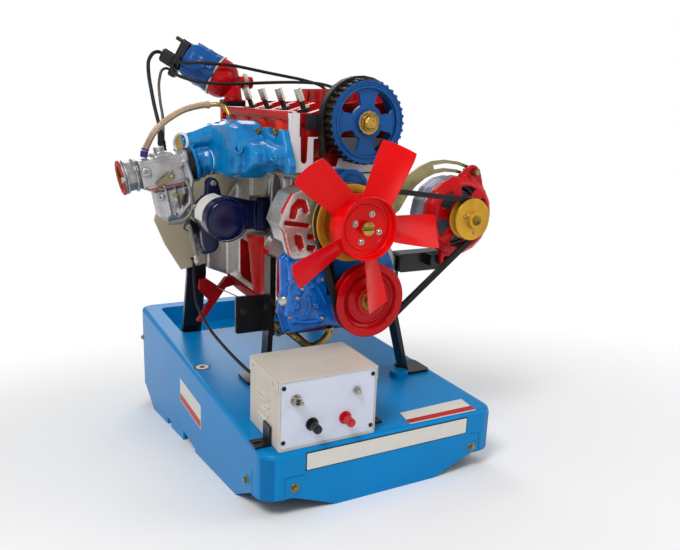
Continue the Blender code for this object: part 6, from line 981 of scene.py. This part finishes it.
# Control box and stand
def add_box_details():
    for x in (32, 170):
        for z in (13, 93):
            where, _ = cast("control_panel", (x, -60, z), REARWARD)
            pan_screw(seat(where, FORWARD), "panel_screws", "ink_and_hole_shade", 3.2)
    for y in (26, 100):
        where, _ = cast("control_box_case", (-40, y, 96), RIGHTWARD)
        pan_screw(seat(where, LEFTWARD), "case_screws", "chrome", 2.8)
        where, _ = cast("control_box_case", (260, y, 96), LEFTWARD)
        pan_screw(seat(where, RIGHTWARD), "case_screws", "chrome", 2.8)
    for x, look in ((75, "plastic"), (127, "red_plastic")):
        place = seat(Vector((x, 9.2, 33.3)), FORWARD)
        ring("post_washer_" + look, look,
             [(7.6, -0.3), (9.6, -0.3), (9.6, 1.6), (7.6, 1.6)], place, 24)
    place = seat(Vector((50, 9.2, 73.3)), FORWARD)
    ring("switch_washer", "chrome",
         [(6.2, -0.3), (8.4, -0.3), (8.2, 1.2), (6.4, 1.2)], place, 24)
    # Folded edges of the lid
    for x0, x1 in ((23.4, 24.2), (177.8, 178.6)):
        slab(group("lid_edges", "beige"), [(x0, 9.6), (x1, 9.6), (x1, 116.4), (x0, 116.4)], 84, 103.6, Matrix())
    # Screws, seams and bare plates of the stand
    for start, along in (((47, -200, -54), REARWARD), ((355, -200, -58), REARWARD), ((-200, 746, -71), RIGHTWARD),
                         ((-200, 64, -64), RIGHTWARD)):
        hex_bolt(seat(*cast("base_shell", start, along)), "base_screws", "zinc", 4.4)
    for pixels in (((285, 497.5), (285, 481), (288, 478), (305, 474.5)),
                   ((478.5, 450), (478.5, 434.5), (477, 433), (468, 434)),
                   ((252, 499), (252, 484), (252, 470))):
        # Two on the front face, which is plane 1, and one on the left side, plane 0
        axis = 1 if pixels[0][0] > 260 else 0
        out = Vector((0, -0.1, 0)) if axis else Vector((-0.1, 0, 0))
        seam = [across(u, v, axis, 0) + out for u, v in pixels]
        tube(group("base_seams", "base_in"), smooth(seam, 4), 0.45, 6)
    where, _ = cast("base_shell", (200, -200, -18), REARWARD)
    for look, rim, lift in (("ink_and_hole_shade", 0, 0.25), ("label", 1.5, 0.5)):
        outline = rounded(63 + rim, -32 + rim, 342 - rim, -4 - rim, 1.5)
        slab(group("name_plate_" + look, look), outline, -where.y - 0.5, -where.y + lift, FRONT_ON)
    for look, y0, z0, y1, z1, lift in (("label", 289, -91, 422, -46, 0.3), ("cut_red", 291, -89, 420, -75, 0.5)):
        where, _ = cast("base_shell", (-200, (y0 + y1) / 2, (z0 + z1) / 2), RIGHTWARD)
        slab(group("side_sticker_" + look, look), rounded(y0, z0, y1, z1, 1.5), -where.x - 0.4,
             -where.x + lift, SIDE_ON)
    corners = [across(u, v, 2, 0) for u, v in ((410, 424), (476, 410), (461, 399), (400, 413))]
    slab(group("deck_sticker", "label"), [(p.x, p.y) for p in corners], -0.3, 0.35, Matrix())
    band = [corners[0].lerp(corners[3], 0.06), corners[1].lerp(corners[2], 0.06), corners[1].lerp(corners[2], 0.36),
            corners[0].lerp(corners[3], 0.36)]
    slab(group("deck_sticker_band", "cut_red"), [(p.x, p.y) for p in band], -0.2, 0.55, Matrix())
    for look, r, lift in (("ink_and_hole_shade", 14.5, 0.3), ("label", 11.5, 0.5), ("ink_and_hole_shade", 4.5, 0.65)):
        lathe(group("round_sticker_%d" % r, look), [(0, -0.3), (r, -0.3), (r, lift), (0, lift)],
              seat(Vector((21, 348, 0)), UPWARD), 36)
    for v in (395.5, 404.7, 414.6):
        first, last = across(255.5, v, 0, 24), across(268.5, v + 2.6, 0, 24)
        middle = (first + last) / 2
        route = [middle + Vector((0.8, d, 0)) for d in (-16, -12, 0, 12, 16)]
        tube(group("case_louvres", "beige"), route, [0.8, 3.0, 3.0, 3.0, 0.8], 12)
    pad = across(399, 375, 2, 0)
    outline = rounded(pad.x - 15, pad.y - 13, pad.x + 13, pad.y + 12, 6)
    slab(group("foot_pad", "base"), outline, -0.5, 9, Matrix())


add_box_details()


# Every gathered group becomes one piece
for name, (bm, body, look) in GROUPS.items():
    finish_piece(name, bm, look, body)


# Floor, backdrop and light
def add_stage():
    bpy.ops.mesh.primitive_plane_add(size=30, location=(0, 0, 0))
    floor = bpy.context.object
    floor.name = "studio_floor"
    made = bpy.data.materials.new("studio_floor")
    made.use_nodes = True
    tree = made.node_tree
    shader = tree.nodes["Principled BSDF"]
    shader.inputs["Base Color"].default_value = (0.92, 0.92, 0.92, 1)
    shader.inputs["Roughness"].default_value = 0.9
    # Far from the object the floor turns into the plain white background
    white = add_node(tree, "Emission")
    where = add_node(tree, "NewGeometry")
    far = add_node(tree, "VectorMath")
    far.operation = "LENGTH"
    link(tree, where.outputs["Position"], far.inputs[0])
    fade = add_node(tree, "MapRange", From_Min=0.5, From_Max=1.3)
    fade.interpolation_type = "SMOOTHSTEP"
    link(tree, far.outputs["Value"], fade.inputs["Value"])
    rays = add_node(tree, "LightPath")
    seen = add_node(tree, "Math")
    seen.operation = "MAXIMUM"
    link(tree, rays.outputs["Is Camera Ray"], seen.inputs[0])
    link(tree, rays.outputs["Is Glossy Ray"], seen.inputs[1])
    both = add_node(tree, "Math")
    both.operation = "MULTIPLY"
    link(tree, seen.outputs["Value"], both.inputs[0])
    link(tree, fade.outputs["Result"], both.inputs[1])
    mix = add_node(tree, "MixShader")
    link(tree, both.outputs["Value"], mix.inputs["Fac"])
    link(tree, shader.outputs["BSDF"], mix.inputs[1])
    link(tree, white.outputs["Emission"], mix.inputs[2])
    link(tree, mix.outputs["Shader"], tree.nodes["Material Output"].inputs["Surface"])
    floor.data.materials.append(made)
    world = bpy.data.worlds.new("studio")
    bpy.context.scene.world = world
    world.use_nodes = True
    tree = world.node_tree
    ground = tree.nodes["Background"]
    ground.inputs["Color"].default_value = (1, 1, 1, 1)
    ground.inputs["Strength"].default_value = 0.5
    pale = add_node(tree, "Background", Color=(1, 1, 1, 1), Strength=1.0)
    rays = add_node(tree, "LightPath")
    mix = add_node(tree, "MixShader")
    link(tree, rays.outputs["Is Camera Ray"], mix.inputs["Fac"])
    link(tree, ground.outputs["Background"], mix.inputs[1])
    link(tree, pale.outputs["Background"], mix.inputs[2])
    link(tree, mix.outputs["Shader"], tree.nodes["World Output"].inputs["Surface"])
    for name, place, size, power in (("key", (-1.5, -1.7, 2.3), 1.0, 44), ("fill", (1.9, -1.6, 1.5), 1.6, 12),
                                     ("back", (0.6, 2.2, 2.0), 1.6, 18)):
        data = bpy.data.lights.new(name, "AREA")
        data.shape = "DISK"
        data.size = size
        data.energy = power
        lamp = show(name, data)
        lamp.location = place
        lamp.rotation_euler = (Vector((0, 0, 0.3)) - Vector(place)).to_track_quat("-Z", "Y").to_euler()


add_stage()
bpy.context.scene.view_settings.view_transform = "Standard"
